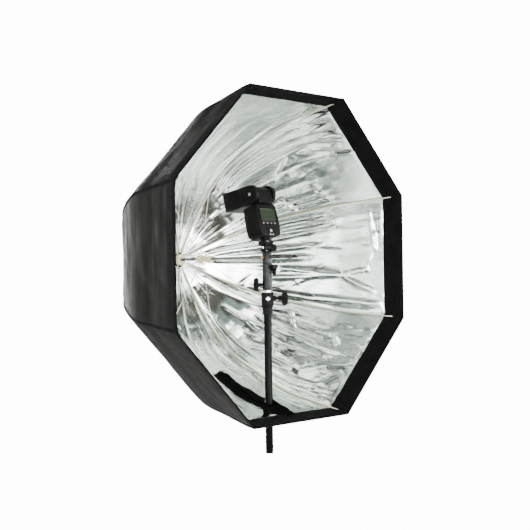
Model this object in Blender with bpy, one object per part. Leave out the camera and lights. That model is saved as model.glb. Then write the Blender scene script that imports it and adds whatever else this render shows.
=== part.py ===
"""An octagonal umbrella softbox on its light stand bracket, with a shoe-mounted flash inside it.

Units are metres, +Z is up and the softbox opens towards -Y. The stand's centre line is the Z axis,
and the origin is the centre of the stand section's lower end face. The softbox's own axis, which is
its shaft, runs along Y at SHAFT_Z. "Depth" is measured backwards from the plane of the opening.
"""
import math

import bmesh
import bpy
from mathutils import Matrix, Vector

# Clearances
GAP = 0.0003
RUNNING = 0.0005

# Softbox frame
RIB_COUNT = 8
RIB_STEP = 2 * math.pi / RIB_COUNT
FIRST_RIB_ANGLE = math.radians(22.5)
SHAFT_Z = 0.4925
OPENING_Y = -0.1206
SHAFT_RADIUS = 0.0040
SHAFT_FRONT_Y = -0.0996
HUB_Y = 0.3380
HINGE_RADIUS = 0.0120
RIB_RADIUS = 0.0015
STRUT_RADIUS = 0.0012
JOINT_DEPTH = 0.4196
JOINT_REACH = 0.195
LUG_HALF_THICKNESS = 0.0012
LUG_REACH = 0.0048
LUG_HALF_WIDTH = 0.0021
STRUT_SIDE_STEP = LUG_HALF_THICKNESS + STRUT_RADIUS + GAP
PIN_RADIUS = 0.0007
EYE_RADIUS = 0.0027
EYE_BORE = 0.0011

# The rib's centre line, as depth behind the opening and distance from the softbox axis.
HUB_DEPTH = HUB_Y - OPENING_Y
RIB_OUTLINE = (
    (HUB_DEPTH, HINGE_RADIUS),
    (0.4450, 0.105),
    (JOINT_DEPTH, JOINT_REACH),
    (0.3720, 0.273),
    (0.2950, 0.331),
    (0.2000, 0.383),
    (0.1100, 0.406),
    (0.0300, 0.4255),
)
RIB_STEPS_PER_SPAN = 2

# Cover
COVER_STANDOFF = 0.0024
COVER_THICKNESS = 0.0012
COVER_SEAM_GAP = 0.00025
COVER_HOLE_RADIUS = 0.018
HEM_RADIUS = 0.4330
SLIT_FRONT_DEPTH = 0.050
SLIT_BACK_DEPTH = 0.290
SLIT_HALF_WIDTH = 0.013
SLIT_PANEL = 5

# Stand
STAND_TUBE_RADIUS = 0.0098
STAND_TUBE_BORE = 0.0086
STAND_TUBE_TOP = 0.3560
COLLAR_BOTTOM = 0.3485
COLLAR_TOP = 0.4040
COLLAR_KNOB_Z = 0.3890
RISER_RADIUS = 0.0079
RISER_BOTTOM = 0.1300
RISER_TOP = 0.4440

# Bracket
ADAPTOR_BOTTOM = 0.4090
ADAPTOR_TOP = 0.4768
BRACKET_RADIUS = 0.01225
BRACKET_BORE = 0.0082
STUD_KNOB_Z = 0.4242
WING_KNOB_Z = 0.4638
BLOCK_TOP = 0.5040
BLOCK_POST_BOTTOM = 0.4490
TILT_AXIS_Z = 0.5165
KNOB_SIDE_ANGLE = math.radians(-45)
WING_SIDE_ANGLE = math.radians(-70)

# Flash, in its own frame: x across, y from its screen towards its lamp, z up along its body
FLASH_LEAN = math.radians(-14)
FOOT_BOTTOM = 0.0125
BODY_BOTTOM = 0.0225
BODY_TOP = 0.1090
BODY_HALF_WIDTH = 0.0370
BODY_HALF_DEPTH = 0.0250
HEAD_AXIS_Y = -0.0100
HEAD_AXIS_Z = 0.1355
TURRET_RADIUS = 0.0185
TURRET_HALF_WIDTH = 0.0245
CHEEK_RADIUS = 0.0240
HEAD_FRONT_Y = 0.0870
HEAD_HALF_WIDTH = 0.0365
SCREEN_WIDTH = 0.0540
SCREEN_HEIGHT = 0.0340
SCREEN_Z = 0.0775
BUTTON_ROW_Z = 0.0535
BUTTON_PITCH = 0.0135
DIAL_Z = 0.0375

COLOURS = {
    "gloss_black": (0.012, 0.012, 0.013, 0.18, 0.0),
    "satin_black": (0.020, 0.020, 0.021, 0.45, 0.0),
    "knob_black": (0.016, 0.016, 0.017, 0.55, 0.0),
    "gunmetal": (0.105, 0.107, 0.110, 0.32, 0.9),
    "bright_metal": (0.74, 0.74, 0.75, 0.22, 1.0),
    "brass": (0.60, 0.45, 0.22, 0.30, 1.0),
    "ivory": (0.78, 0.74, 0.62, 0.45, 0.0),
    "cream": (0.74, 0.67, 0.47, 0.40, 0.0),
    "cover_cloth": (0.030, 0.029, 0.030, 0.80, 0.0),
    "flash_black": (0.014, 0.014, 0.015, 0.50, 0.0),
    "screen_green": (0.060, 0.085, 0.062, 0.15, 0.0),
    "clear_lens": (0.80, 0.82, 0.84, 0.10, 0.0),
    "white_card": (0.85, 0.85, 0.84, 0.50, 0.0),
    "grey_key": (0.34, 0.35, 0.36, 0.50, 0.0),
}

materials = {}


def clear_scene():
    for existing in list(bpy.data.objects):
        bpy.data.objects.remove(existing)


def make_materials():
    for name, (red, green, blue, roughness, metallic) in COLOURS.items():
        material = bpy.data.materials.new(name)
        material.use_nodes = True
        shader = material.node_tree.nodes["Principled BSDF"]
        shader.inputs["Base Color"].default_value = (red, green, blue, 1.0)
        shader.inputs["Roughness"].default_value = roughness
        shader.inputs["Metallic"].default_value = metallic
        materials[name] = material


def add_object(name, mesh, material, parent=None, matrix=None):
    """Links an object for a mesh, placed by matrix in its parent's frame."""
    created = bpy.data.objects.new(name, mesh)
    bpy.context.scene.collection.objects.link(created)
    if material and not mesh.materials:
        mesh.materials.append(materials[material])
    if parent:
        created.parent = parent
    if matrix:
        created.matrix_basis = matrix
    return created


def add_empty(name, matrix, parent=None):
    empty = bpy.data.objects.new(name, None)
    bpy.context.scene.collection.objects.link(empty)
    empty.parent = parent
    empty.matrix_basis = matrix
    return empty


def finish_mesh(name, bm, smooth_angle=35):
    """Turns a bmesh into a mesh with outward faces and smooth round parts."""
    bmesh.ops.recalc_face_normals(bm, faces=bm.faces)
    mesh = bpy.data.meshes.new(name)
    bm.to_mesh(mesh)
    bm.free()
    mesh.shade_smooth()
    mesh.set_sharp_from_angle(angle=math.radians(smooth_angle))
    return mesh


def turned(name, outline, segments=16, closed=False):
    """A solid of revolution about Z. outline is (radius, z) pairs; closed outlines leave a bore."""
    bm = bmesh.new()
    rings = []
    for radius, z in outline:
        if radius < 1e-7:
            rings.append([bm.verts.new((0, 0, z))])
            continue
        angles = [2 * math.pi * k / segments for k in range(segments)]
        rings.append([bm.verts.new((radius * math.cos(a), radius * math.sin(a), z)) for a in angles])
    pairs = list(zip(rings, rings[1:]))
    if closed:
        pairs.append((rings[-1], rings[0]))
    for lower, upper in pairs:
        for k in range(segments):
            corners = [
                lower[k % len(lower)],
                lower[(k + 1) % len(lower)],
                upper[(k + 1) % len(upper)],
                upper[k % len(upper)],
            ]
            bm.faces.new(list(dict.fromkeys(corners)))
    return finish_mesh(name, bm)


def tube_outline(outer, inner, low, high, chamfer=0.0005):
    """The closed outline of a plain tube with chamfered outer ends."""
    return (
        (inner, low),
        (outer - chamfer, low),
        (outer, low + chamfer),
        (outer, high - chamfer),
        (outer - chamfer, high),
        (inner, high),
    )


def rod_outline(radius, low, high, chamfer=0.0005):
    return (
        (0, low),
        (radius - chamfer, low),
        (radius, low + chamfer),
        (radius, high - chamfer),
        (radius - chamfer, high),
        (0, high),
    )


def box(name, low, high, bevel=0.0, bevel_segments=2):
    """A box between two corners, with its edges rounded."""
    bm = bmesh.new()
    low, high = Vector(low), Vector(high)
    size = high - low
    placed = Matrix.Translation((low + high) / 2) @ Matrix.Diagonal((*size, 1))
    bmesh.ops.create_cube(bm, size=1, matrix=placed)
    if bevel:
        bmesh.ops.bevel(
            bm, geom=bm.edges[:], offset=bevel, segments=bevel_segments, profile=0.5, affect="EDGES"
        )
    return finish_mesh(name, bm)


def prism(name, outline, low, high, axis="Z", bevel=0.0):
    """An outline of two coordinates, extruded along an axis from low to high."""
    places = {
        "X": lambda a, b, c: (c, a, b),
        "Y": lambda a, b, c: (a, c, b),
        "Z": lambda a, b, c: (a, b, c),
    }[axis]
    bm = bmesh.new()
    ends = []
    for level in (low, high):
        ends.append([bm.verts.new(places(a, b, level)) for a, b in outline])
    bm.faces.new(ends[0])
    bm.faces.new(list(reversed(ends[1])))
    count = len(outline)
    for k in range(count):
        after = (k + 1) % count
        bm.faces.new((ends[0][k], ends[1][k], ends[1][after], ends[0][after]))
    if bevel:
        bmesh.ops.recalc_face_normals(bm, faces=bm.faces)
        rims = [e for f in bm.faces if len(f.verts) == count for e in f.edges]
        bmesh.ops.bevel(bm, geom=list(set(rims)), offset=bevel, segments=1, profile=0.5, affect="EDGES")
    return finish_mesh(name, bm)


def arc(centre, radius, start, end, steps):
    """Points on an arc, with start and end in degrees."""
    points = []
    for k in range(steps + 1):
        angle = math.radians(start + (end - start) * k / steps)
        points.append((centre[0] + radius * math.cos(angle), centre[1] + radius * math.sin(angle)))
    return points


def boolean(target, tool, operation):
    """Leaves a boolean modifier on target, with tool kept as a hidden guide."""
    tool.hide_render = True
    tool.display_type = "WIRE"
    modifier = target.modifiers.new(operation.lower(), "BOOLEAN")
    modifier.operation = operation
    modifier.object = tool


def joined_mesh(name, meshes):
    """The union of several overlapping solids, as one mesh."""
    guides = [add_object(f"{name}_guide", mesh, None) for mesh in meshes]
    for guide in guides[1:]:
        modifier = guides[0].modifiers.new("join", "BOOLEAN")
        modifier.operation = "UNION"
        modifier.object = guide
    evaluated = guides[0].evaluated_get(bpy.context.evaluated_depsgraph_get())
    mesh = bpy.data.meshes.new_from_object(evaluated)
    for guide in guides:
        bpy.data.objects.remove(guide)
    mesh.name = name
    mesh.materials.clear()
    mesh.shade_smooth()
    mesh.set_sharp_from_angle(angle=math.radians(35))
    return mesh


def side_frame(angle, height):
    """A frame on the stand axis at a height, whose local Z points sideways at an angle about Z."""
    return Matrix.Translation((0, 0, height)) @ Matrix.Rotation(angle, 4, "Z") @ Matrix.Rotation(
        math.pi / 2, 4, "Y"
    )


def along_shaft(y):
    """A frame on the shaft, whose local Z points backwards along +Y."""
    return Matrix.Translation((0, y, SHAFT_Z)) @ Matrix.Rotation(-math.pi / 2, 4, "X")


# Softbox frame and cover


def rib_angle(index):
    return FIRST_RIB_ANGLE + index * RIB_STEP


def smooth_curve(points, steps):
    """A Catmull-Rom curve through points, with a number of steps in each span."""
    first = 2 * Vector(points[0]) - Vector(points[1])
    last = 2 * Vector(points[-1]) - Vector(points[-2])
    padded = [first, *[Vector(p) for p in points], last]
    curve = []
    for k in range(1, len(padded) - 2):
        a, b, c, d = padded[k - 1 : k + 3]
        for step in range(steps):
            t = step / steps
            curve.append(
                0.5
                * (
                    2 * b
                    + (c - a) * t
                    + (2 * a - 5 * b + 4 * c - d) * t**2
                    + (3 * b - a - 3 * c + d) * t**3
                )
            )
    curve.append(padded[-2])
    return curve


def rib_curve():
    return smooth_curve(RIB_OUTLINE, RIB_STEPS_PER_SPAN)


def swept_rod(name, points, radius, side=0.0, sides=5):
    """A round rod along points in the XY plane, shifted sideways along Z, with closed ends."""
    bm = bmesh.new()
    rings = []
    for k, point in enumerate(points):
        before, after = points[max(k - 1, 0)], points[min(k + 1, len(points) - 1)]
        along = (after - before).normalized()
        normal = Vector((-along.y, along.x, 0))
        ring = []
        for s in range(sides):
            turn = 2 * math.pi * (s + 0.5) / sides
            across = normal * math.cos(turn) + Vector((0, 0, 1)) * math.sin(turn)
            ring.append(bm.verts.new(Vector((point.x, point.y, side)) + across * radius))
        rings.append(ring)
    for lower, upper in zip(rings, rings[1:]):
        for s in range(sides):
            after = (s + 1) % sides
            bm.faces.new((lower[s], lower[after], upper[after], upper[s]))
    bm.faces.new(rings[0])
    bm.faces.new(rings[-1])
    return finish_mesh(name, bm)


def rib_frame(index):
    """The rib's hinge at the hub: local X points outwards, local Y backwards."""
    angle = rib_angle(index)
    place = Vector((HINGE_RADIUS * math.cos(angle), HUB_Y, SHAFT_Z + HINGE_RADIUS * math.sin(angle)))
    return Matrix.Translation(place) @ Matrix.Rotation(-angle, 4, "Y")


def rib_points():
    """The rib's centre line in its own frame."""
    return [Vector((reach - HINGE_RADIUS, depth - HUB_DEPTH, 0)) for depth, reach in rib_curve()]


def lug_directions():
    """The rib's direction and its inward normal where the strut's lug stands on it."""
    points = rib_points()
    lug = RIB_OUTLINE.index((JOINT_DEPTH, JOINT_REACH)) * RIB_STEPS_PER_SPAN
    along = (points[lug + 1] - points[lug - 1]).normalized()
    return points[lug], along, Vector((along.y, -along.x, 0))


def joint_point():
    """Where the strut is pinned to the rib's lug, in the rib's own frame."""
    foot, _, inward = lug_directions()
    return foot + inward * LUG_REACH


def build_ribs():
    rod = swept_rod("rib_rod", rib_points(), RIB_RADIUS)
    pin_length = LUG_HALF_THICKNESS + GAP + 2 * STRUT_RADIUS + 0.0008
    pin = turned("rib_pin", rod_outline(PIN_RADIUS, 0, pin_length, 0.0001), 8)
    pin.transform(Matrix.Translation(joint_point()))
    foot, along, inward = lug_directions()
    corners = ((-1.5, 0.0), (-1.0, 1.0), (-0.6, 1.35), (0.6, 1.35), (1.0, 1.0), (1.5, 0.0))
    outline = []
    for across, reach in corners:
        point = foot + along * across * LUG_HALF_WIDTH + inward * reach * LUG_REACH
        outline.append((point.x, point.y))
    lug = prism("rib_lug", outline, -LUG_HALF_THICKNESS, LUG_HALF_THICKNESS)
    mesh = joined_mesh("rib", [rod, lug, pin])
    ribs = []
    for index in range(RIB_COUNT):
        ribs.append(add_object(f"rib_{index + 1}", mesh, "ivory", None, rib_frame(index)))
    return ribs


def build_struts(ribs):
    """Each strut is pinned beside its rib and reaches to the runner, where its end is free."""
    along = Vector((-joint_point().x, joint_point().y, 0))
    reach = along.length - 0.0012
    start = along.normalized() * (EYE_RADIUS - 0.0007)
    end = along.normalized() * reach
    rod = swept_rod("strut_rod", [start, end], STRUT_RADIUS, STRUT_SIDE_STEP)
    eye_outline = (
        (EYE_BORE, -STRUT_RADIUS),
        (EYE_RADIUS, -STRUT_RADIUS),
        (EYE_RADIUS, STRUT_RADIUS),
        (EYE_BORE, STRUT_RADIUS),
    )
    eye = turned("strut_eye", eye_outline, 10, True)
    eye.transform(Matrix.Translation((0, 0, STRUT_SIDE_STEP)))
    mesh = joined_mesh("strut", [rod, eye])
    for index, rib in enumerate(ribs):
        place = Matrix.Translation(joint_point())
        add_object(f"strut_{index + 1}", mesh, "ivory", rib, place)


def cover_outline():
    """The cover's inner surface, as depth and reach, from the hole at the hub to the hem."""
    curve = [point for point in rib_curve() if point.y > COVER_HOLE_RADIUS]
    outline = []
    for k, point in enumerate(curve):
        before, after = curve[max(k - 1, 0)], curve[min(k + 1, len(curve) - 1)]
        along = (after - before).normalized()
        normal = Vector((-along.y, along.x))
        if normal.dot(Vector((1, 1))) < 0:
            normal = -normal
        outline.append(point + normal * COVER_STANDOFF)
    inner = Vector((HUB_DEPTH + COVER_STANDOFF - 0.0005, COVER_HOLE_RADIUS))
    hem = Vector((0.0, HEM_RADIUS))
    outline = [inner, *outline, hem]
    for depth in (SLIT_BACK_DEPTH, SLIT_FRONT_DEPTH):
        outline = with_station(outline, depth)
    return outline


def with_station(outline, depth):
    """The outline with a point at that depth, which replaces one that is very near."""
    stations = []
    for a, b in zip(outline, outline[1:]):
        stations.append(a)
        if a.x > depth > b.x:
            share = (a.x - depth) / (a.x - b.x)
            stations.append(a.lerp(b, share))
    stations.append(outline[-1])
    return [s for s in stations if s.x == 0 or abs(s.x - depth) > 0.012 or abs(s.x - depth) < 1e-6]


def build_cover_panel(index):
    """One sewn panel of the cover, between two ribs."""
    low, high = rib_angle(index), rib_angle(index + 1)
    bm = bmesh.new()
    rows = []
    outline = cover_outline()
    for station in outline:
        ends = []
        for angle in (low, high):
            across = Vector((math.cos(angle), 0, math.sin(angle))) * station.y
            ends.append(across + Vector((0, OPENING_Y + station.x, SHAFT_Z)))
        width = (ends[1] - ends[0]).length
        edge = COVER_SEAM_GAP / width
        half = min(SLIT_HALF_WIDTH / width, 0.13)
        shares = (edge, 0.5 - half, 0.5 + half, 1 - edge)
        rows.append([bm.verts.new(ends[0].lerp(ends[1], share)) for share in shares])
    for row in range(len(rows) - 1):
        front = outline[row].x <= SLIT_BACK_DEPTH + 1e-6
        back = outline[row + 1].x >= SLIT_FRONT_DEPTH - 1e-6
        for column in range(3):
            if index == SLIT_PANEL and column == 1 and front and back:
                continue
            corners = (
                rows[row][column],
                rows[row][column + 1],
                rows[row + 1][column + 1],
                rows[row + 1][column],
            )
            bm.faces.new(corners)
    middle = Vector((0, HUB_Y - 0.25, SHAFT_Z))
    for face in bm.faces:
        if face.normal.length < 1e-9:
            face.normal_update()
        if face.normal.dot(face.calc_center_median() - middle) < 0:
            face.normal_flip()
    mesh = bpy.data.meshes.new(f"cover_{index + 1}")
    bm.to_mesh(mesh)
    bm.free()
    mesh.shade_smooth()
    mesh.set_sharp_from_angle(angle=math.radians(35))
    panel = add_object(f"cover_panel_{index + 1}", mesh, "cover_cloth")
    shell = panel.modifiers.new("cloth", "SOLIDIFY")
    shell.thickness = COVER_THICKNESS
    shell.offset = 1.0
    return panel


def build_shaft():
    length = HUB_Y + 0.0060 - SHAFT_FRONT_Y
    rod = turned("shaft", tube_outline(SHAFT_RADIUS, 0.0030, 0.0062, length, 0.0004), 20, True)
    add_object("shaft", rod, "bright_metal", None, along_shaft(SHAFT_FRONT_Y))
    cap = turned(
        "shaft_cap",
        (
            (0, 0.0),
            (0.0036, 0.0),
            (0.0044, 0.0008),
            (0.0044, 0.0058),
            (0.0027, 0.0058),
            (0.0027, 0.0160),
            (0, 0.0160),
        ),
        20,
    )
    add_object("shaft_end_cap", cap, "satin_black", None, along_shaft(SHAFT_FRONT_Y))


def build_hub():
    """The notched hub that the ribs are hinged in, and the ferrule behind the cover."""
    hub_outline = (
        (SHAFT_RADIUS + GAP, -0.0085),
        (0.0085, -0.0085),
        (0.0150, -0.0045),
        (0.0155, -0.0035),
        (0.0155, 0.0008),
        (0.0148, 0.0015),
        (SHAFT_RADIUS + GAP, 0.0015),
    )
    hub = add_object("crown_hub", turned("hub", hub_outline, 32, True), "cream", None, along_shaft(HUB_Y))
    slots = bmesh.new()
    for index in range(RIB_COUNT):
        turn = Matrix.Rotation(-rib_angle(index), 4, "Z")
        centre = turn @ Matrix.Translation((0.0150, 0, -0.0060))
        centre = centre @ Matrix.Diagonal((0.0104, 0.0038, 0.0160, 1))
        bmesh.ops.create_cube(slots, size=1, matrix=centre)
    cutter = add_object("hub_slots", finish_mesh("hub_slots", slots), None, None, along_shaft(HUB_Y))
    boolean(hub, cutter, "DIFFERENCE")
    ferrule = turned(
        "ferrule",
        (
            (0, 0.0240),
            (0.0052, 0.0236),
            (0.0072, 0.0215),
            (0.0080, 0.0080),
            (0.0200, 0.0062),
            (0.0230, 0.0052),
            (0.0230, 0.0042),
            (SHAFT_RADIUS + GAP, 0.0042),
            (SHAFT_RADIUS + GAP, 0.0070),
            (0, 0.0070),
        ),
        20,
    )
    add_object("crown_ferrule", ferrule, "satin_black", None, along_shaft(HUB_Y))


def build_runner():
    """The sliding runner that spreads the struts, with its catch."""
    hinge = HUB_Y + 2 * joint_point().y
    outline = (
        (SHAFT_RADIUS + GAP, 0.0080),
        (0.0090, 0.0080),
        (0.0103, 0.0068),
        (0.0103, -0.0050),
        (0.0088, -0.0075),
        (0.0082, -0.0110),
        (0.0078, -0.0400),
        (0.0092, -0.0425),
        (0.0092, -0.0452),
        (0.0084, -0.0460),
        (SHAFT_RADIUS + GAP, -0.0460),
    )
    runner = add_object("runner", turned("runner", outline, 20, True), "cream", None, along_shaft(hinge))
    pocket = box("latch_pocket", (-0.0027, -0.0100, -0.0375), (0.0027, -0.0056, -0.0125))
    boolean(runner, add_object("latch_pocket", pocket, None, None, along_shaft(hinge)), "DIFFERENCE")
    latch = box("latch", (-0.0023, -0.0100, -0.0365), (0.0023, -0.0080, -0.0135), 0.0006, 1)
    pivot = Matrix.Translation((0, -0.0090, -0.0150))
    latch.transform(pivot.inverted())
    add_object("runner_latch", latch, "satin_black", runner, pivot)


# Stand and bracket


def build_stand():
    tube = turned("tube", tube_outline(STAND_TUBE_RADIUS, STAND_TUBE_BORE, 0.0033, STAND_TUBE_TOP), 20, True)
    add_object("stand_tube", tube, "gloss_black")
    plug_outline = (
        (0, 0.0),
        (STAND_TUBE_RADIUS - 0.0005, 0.0),
        (STAND_TUBE_RADIUS, 0.0005),
        (STAND_TUBE_RADIUS, 0.0030),
        (STAND_TUBE_BORE - GAP, 0.0030),
        (STAND_TUBE_BORE - GAP, 0.0150),
        (0.0070, 0.0160),
        (0, 0.0160),
    )
    add_object("stand_end_plug", turned("plug", plug_outline, 20), "satin_black")
    riser_outline = (
        (0, RISER_BOTTOM),
        (RISER_RADIUS, RISER_BOTTOM + 0.0006),
        (RISER_RADIUS, RISER_TOP - 0.0220),
        (0.0060, RISER_TOP - 0.0195),
        (0.0060, RISER_TOP - 0.0110),
        (RISER_RADIUS, RISER_TOP - 0.0085),
        (RISER_RADIUS, RISER_TOP - 0.0012),
        (RISER_RADIUS - 0.0012, RISER_TOP),
        (0, RISER_TOP),
    )
    add_object("riser_spigot", turned("riser", riser_outline, 20), "bright_metal")
    build_collar()


def build_collar():
    """The collar clamps the riser; its window holds a metal insert and its boss takes the knob."""
    bore = STAND_TUBE_RADIUS + GAP
    outline = (
        (bore, COLLAR_BOTTOM),
        (0.0128, COLLAR_BOTTOM),
        (0.0136, COLLAR_BOTTOM + 0.0008),
        (0.0136, COLLAR_BOTTOM + 0.0036),
        (0.0125, COLLAR_BOTTOM + 0.0046),
        (0.0128, COLLAR_BOTTOM + 0.0160),
        (0.0155, COLLAR_BOTTOM + 0.0250),
        (0.01585, COLLAR_BOTTOM + 0.0300),
        (0.01585, COLLAR_TOP - 0.0012),
        (0.0147, COLLAR_TOP),
        (RISER_RADIUS + RUNNING, COLLAR_TOP),
        (RISER_RADIUS + RUNNING, STAND_TUBE_TOP + GAP),
        (bore, STAND_TUBE_TOP + GAP),
    )
    collar = add_object("stand_collar", turned("collar", outline, 20, True), "satin_black")
    knob_side = side_frame(KNOB_SIDE_ANGLE, COLLAR_KNOB_Z)
    boss_outline = ((0, 0.0120), (0.0068, 0.0120), (0.0068, 0.0180), (0.0048, 0.0228), (0, 0.0228))
    boss = turned("boss", boss_outline, 16)
    boolean(collar, add_object("collar_boss", boss, None, None, knob_side), "UNION")
    hole = turned("boss_hole", rod_outline(0.0032, 0.0070, 0.0240, 0.0001), 16)
    boolean(collar, add_object("collar_boss_hole", hole, None, None, knob_side), "DIFFERENCE")
    window_side = side_frame(math.radians(-128), COLLAR_KNOB_Z - 0.0010)
    window = turned("window", rod_outline(0.0074, 0.0108, 0.0200, 0.0001), 20)
    boolean(collar, add_object("collar_window_cut", window, None, None, window_side), "DIFFERENCE")
    insert = turned(
        "insert",
        ((0, 0.0112), (0.0070, 0.0112), (0.0070, 0.0128), (0.0052, 0.0146), (0.0030, 0.0136), (0, 0.0136)),
        20,
    )
    add_object("collar_insert", insert, "bright_metal", None, window_side)
    neck_outline = ((0, 0.0268), (0.0052, 0.0268), (0.0062, 0.0290), (0.0062, 0.0370), (0, 0.0370))
    knob = joined_mesh(
        "collar_knob",
        [
            turned("screw", rod_outline(0.0027, 0.0098, 0.0300, 0.0004), 12),
            turned("neck", neck_outline, 16),
            fluted_knob("head", 0.0176, 0.0360, 0.0512, 8, 0.0012),
        ],
    )
    add_object("collar_knob", knob, "knob_black", None, knob_side)


def fluted_knob(name, radius, low, high, flutes, depth):
    """A round knob head with grip flutes round its edge."""
    outline = []
    steps = flutes * 2
    for k in range(steps):
        angle = 2 * math.pi * k / steps
        reach = radius - depth * (0.5 - 0.5 * math.cos(flutes * angle))
        outline.append((reach * math.cos(angle), reach * math.sin(angle)))
    return prism(name, outline, low, high, "Z", 0.0010)


def winged_knob(name, low, high):
    """A three-lobed wing knob."""
    outline = []
    steps = 24
    for k in range(steps):
        angle = 2 * math.pi * k / steps
        reach = 0.0115 + 0.0055 * math.cos(3 * angle)
        outline.append((reach * math.cos(angle), reach * math.sin(angle)))
    return prism(name, outline, low, high, "Z", 0.0014)


def build_adaptor():
    """The female adaptor sits on the spigot; one knob clamps the spigot, one the block's post."""
    floor = RISER_TOP + 0.0010
    outline = (
        (BRACKET_BORE, ADAPTOR_BOTTOM),
        (BRACKET_RADIUS - 0.0008, ADAPTOR_BOTTOM),
        (BRACKET_RADIUS, ADAPTOR_BOTTOM + 0.0008),
        (BRACKET_RADIUS, ADAPTOR_TOP - 0.0004),
        (BRACKET_RADIUS - 0.0004, ADAPTOR_TOP),
        (BRACKET_BORE, ADAPTOR_TOP),
        (BRACKET_BORE, floor + 0.0030),
        (0.0050, floor + 0.0030),
        (0.0050, floor),
        (BRACKET_BORE, floor),
    )
    tube = add_object("adaptor_tube", turned("adaptor", outline, 20, True), "gunmetal")
    left = side_frame(KNOB_SIDE_ANGLE + math.pi, STUD_KNOB_Z)
    right = side_frame(WING_SIDE_ANGLE, WING_KNOB_Z)
    for name, frame in (("stud_hole", left), ("wing_hole", right)):
        hole = turned(name, rod_outline(0.0027, 0.0060, 0.0160, 0.0001), 16)
        boolean(tube, add_object(name, hole, None, None, frame), "DIFFERENCE")
    stud_knob = joined_mesh(
        "stud_knob",
        [
            turned("stud_screw", rod_outline(0.0023, 0.0084, 0.0200, 0.0004), 12),
            turned("stud_neck", ((0, 0.0128), (0.0042, 0.0128), (0.0042, 0.0230), (0, 0.0230)), 16),
            fluted_knob("stud_head", 0.0165, 0.0216, 0.0350, 10, 0.0010),
        ],
    )
    add_object("stud_lock_knob", stud_knob, "knob_black", None, left)
    neck_outline = ((0, 0.0127), (0.0060, 0.0127), (0.0068, 0.0150), (0.0068, 0.0190), (0, 0.0190))
    wing_knob = joined_mesh(
        "wing_knob",
        [
            turned("wing_screw", rod_outline(0.0023, 0.0084, 0.0180, 0.0004), 12),
            turned("wing_neck", neck_outline, 16),
            winged_knob("wing_head", 0.0152, 0.0240),
        ],
    )
    add_object("wing_lock_knob", wing_knob, "knob_black", None, right)


def build_block():
    """The umbrella holder: a round block on a post, drilled for the umbrella shaft."""
    low = ADAPTOR_TOP + GAP
    outline = (
        (0, BLOCK_POST_BOTTOM),
        (0.0075, BLOCK_POST_BOTTOM),
        (0.0078, BLOCK_POST_BOTTOM + 0.0005),
        (0.0078, low),
        (BRACKET_RADIUS - 0.0004, low),
        (BRACKET_RADIUS, low + 0.0005),
        (BRACKET_RADIUS, BLOCK_TOP - 0.0006),
        (BRACKET_RADIUS - 0.0006, BLOCK_TOP),
        (0, BLOCK_TOP),
    )
    block = add_object("holder_block", turned("block", outline, 20), "gunmetal")
    bore = turned("bore", rod_outline(SHAFT_RADIUS + RUNNING, -0.0200, 0.0200, 0.0001), 20)
    boolean(block, add_object("block_bore", bore, None, None, along_shaft(0)), "DIFFERENCE")
    side = side_frame(math.pi, SHAFT_Z)
    hole = turned("screw_hole", rod_outline(0.0022, 0.0020, 0.0160, 0.0001), 12)
    boolean(block, add_object("block_screw_hole", hole, None, None, side), "DIFFERENCE")
    screw = joined_mesh(
        "umbrella_screw",
        [
            turned("thumb_screw", rod_outline(0.0019, 0.0048, 0.0150, 0.0003), 12),
            fluted_knob("thumb_head", 0.0040, 0.0128, 0.0190, 8, 0.0004),
        ],
    )
    add_object("umbrella_lock_screw", screw, "brass", None, side)


def build_tilt_head():
    """The tilting cold shoe: a fixed fork, a shoe that leans between its ears, and a lock knob."""
    fork = joined_mesh(
        "fork",
        [
            turned(
                "fork_base",
                (
                    (0, BLOCK_TOP + GAP),
                    (0.0110, BLOCK_TOP + GAP),
                    (0.0155, BLOCK_TOP + 0.0015),
                    (0.0155, BLOCK_TOP + 0.0030),
                    (0.0140, BLOCK_TOP + 0.0040),
                    (0, BLOCK_TOP + 0.0040),
                ),
                20,
            ),
            fork_ear("ear_left", -0.0140, -0.0098),
            fork_ear("ear_right", 0.0098, 0.0140),
        ],
    )
    fork = add_object("tilt_fork", fork, "satin_black")
    across = Matrix.Translation((0, 0, TILT_AXIS_Z)) @ Matrix.Rotation(math.pi / 2, 4, "Y")
    hole = turned("fork_hole", rod_outline(0.0024, -0.0200, 0.0200, 0.0001), 16)
    boolean(fork, add_object("fork_hole", hole, None, None, across), "DIFFERENCE")
    knob = joined_mesh(
        "tilt_knob",
        [
            turned("tilt_bolt", rod_outline(0.0021, -0.0150, 0.0180, 0.0003), 12),
            fluted_knob("tilt_head", 0.0095, 0.0152, 0.0285, 8, 0.0010),
        ],
    )
    add_object("tilt_lock_knob", knob, "knob_black", None, across)
    lean = add_empty(
        "flash_frame", Matrix.Translation((0, 0, TILT_AXIS_Z)) @ Matrix.Rotation(FLASH_LEAN, 4, "X")
    )
    build_shoe(lean)
    return lean


def fork_ear(name, low, high):
    """A rounded ear of the fork, standing on its base, as a slab across X."""
    base = BLOCK_TOP + 0.0026
    outline = [(-0.0085, base), *reversed(arc((0, TILT_AXIS_Z), 0.0072, 0, 180, 10)), (0.0085, base)]
    return prism(name, outline, low, high, "X")


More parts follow.
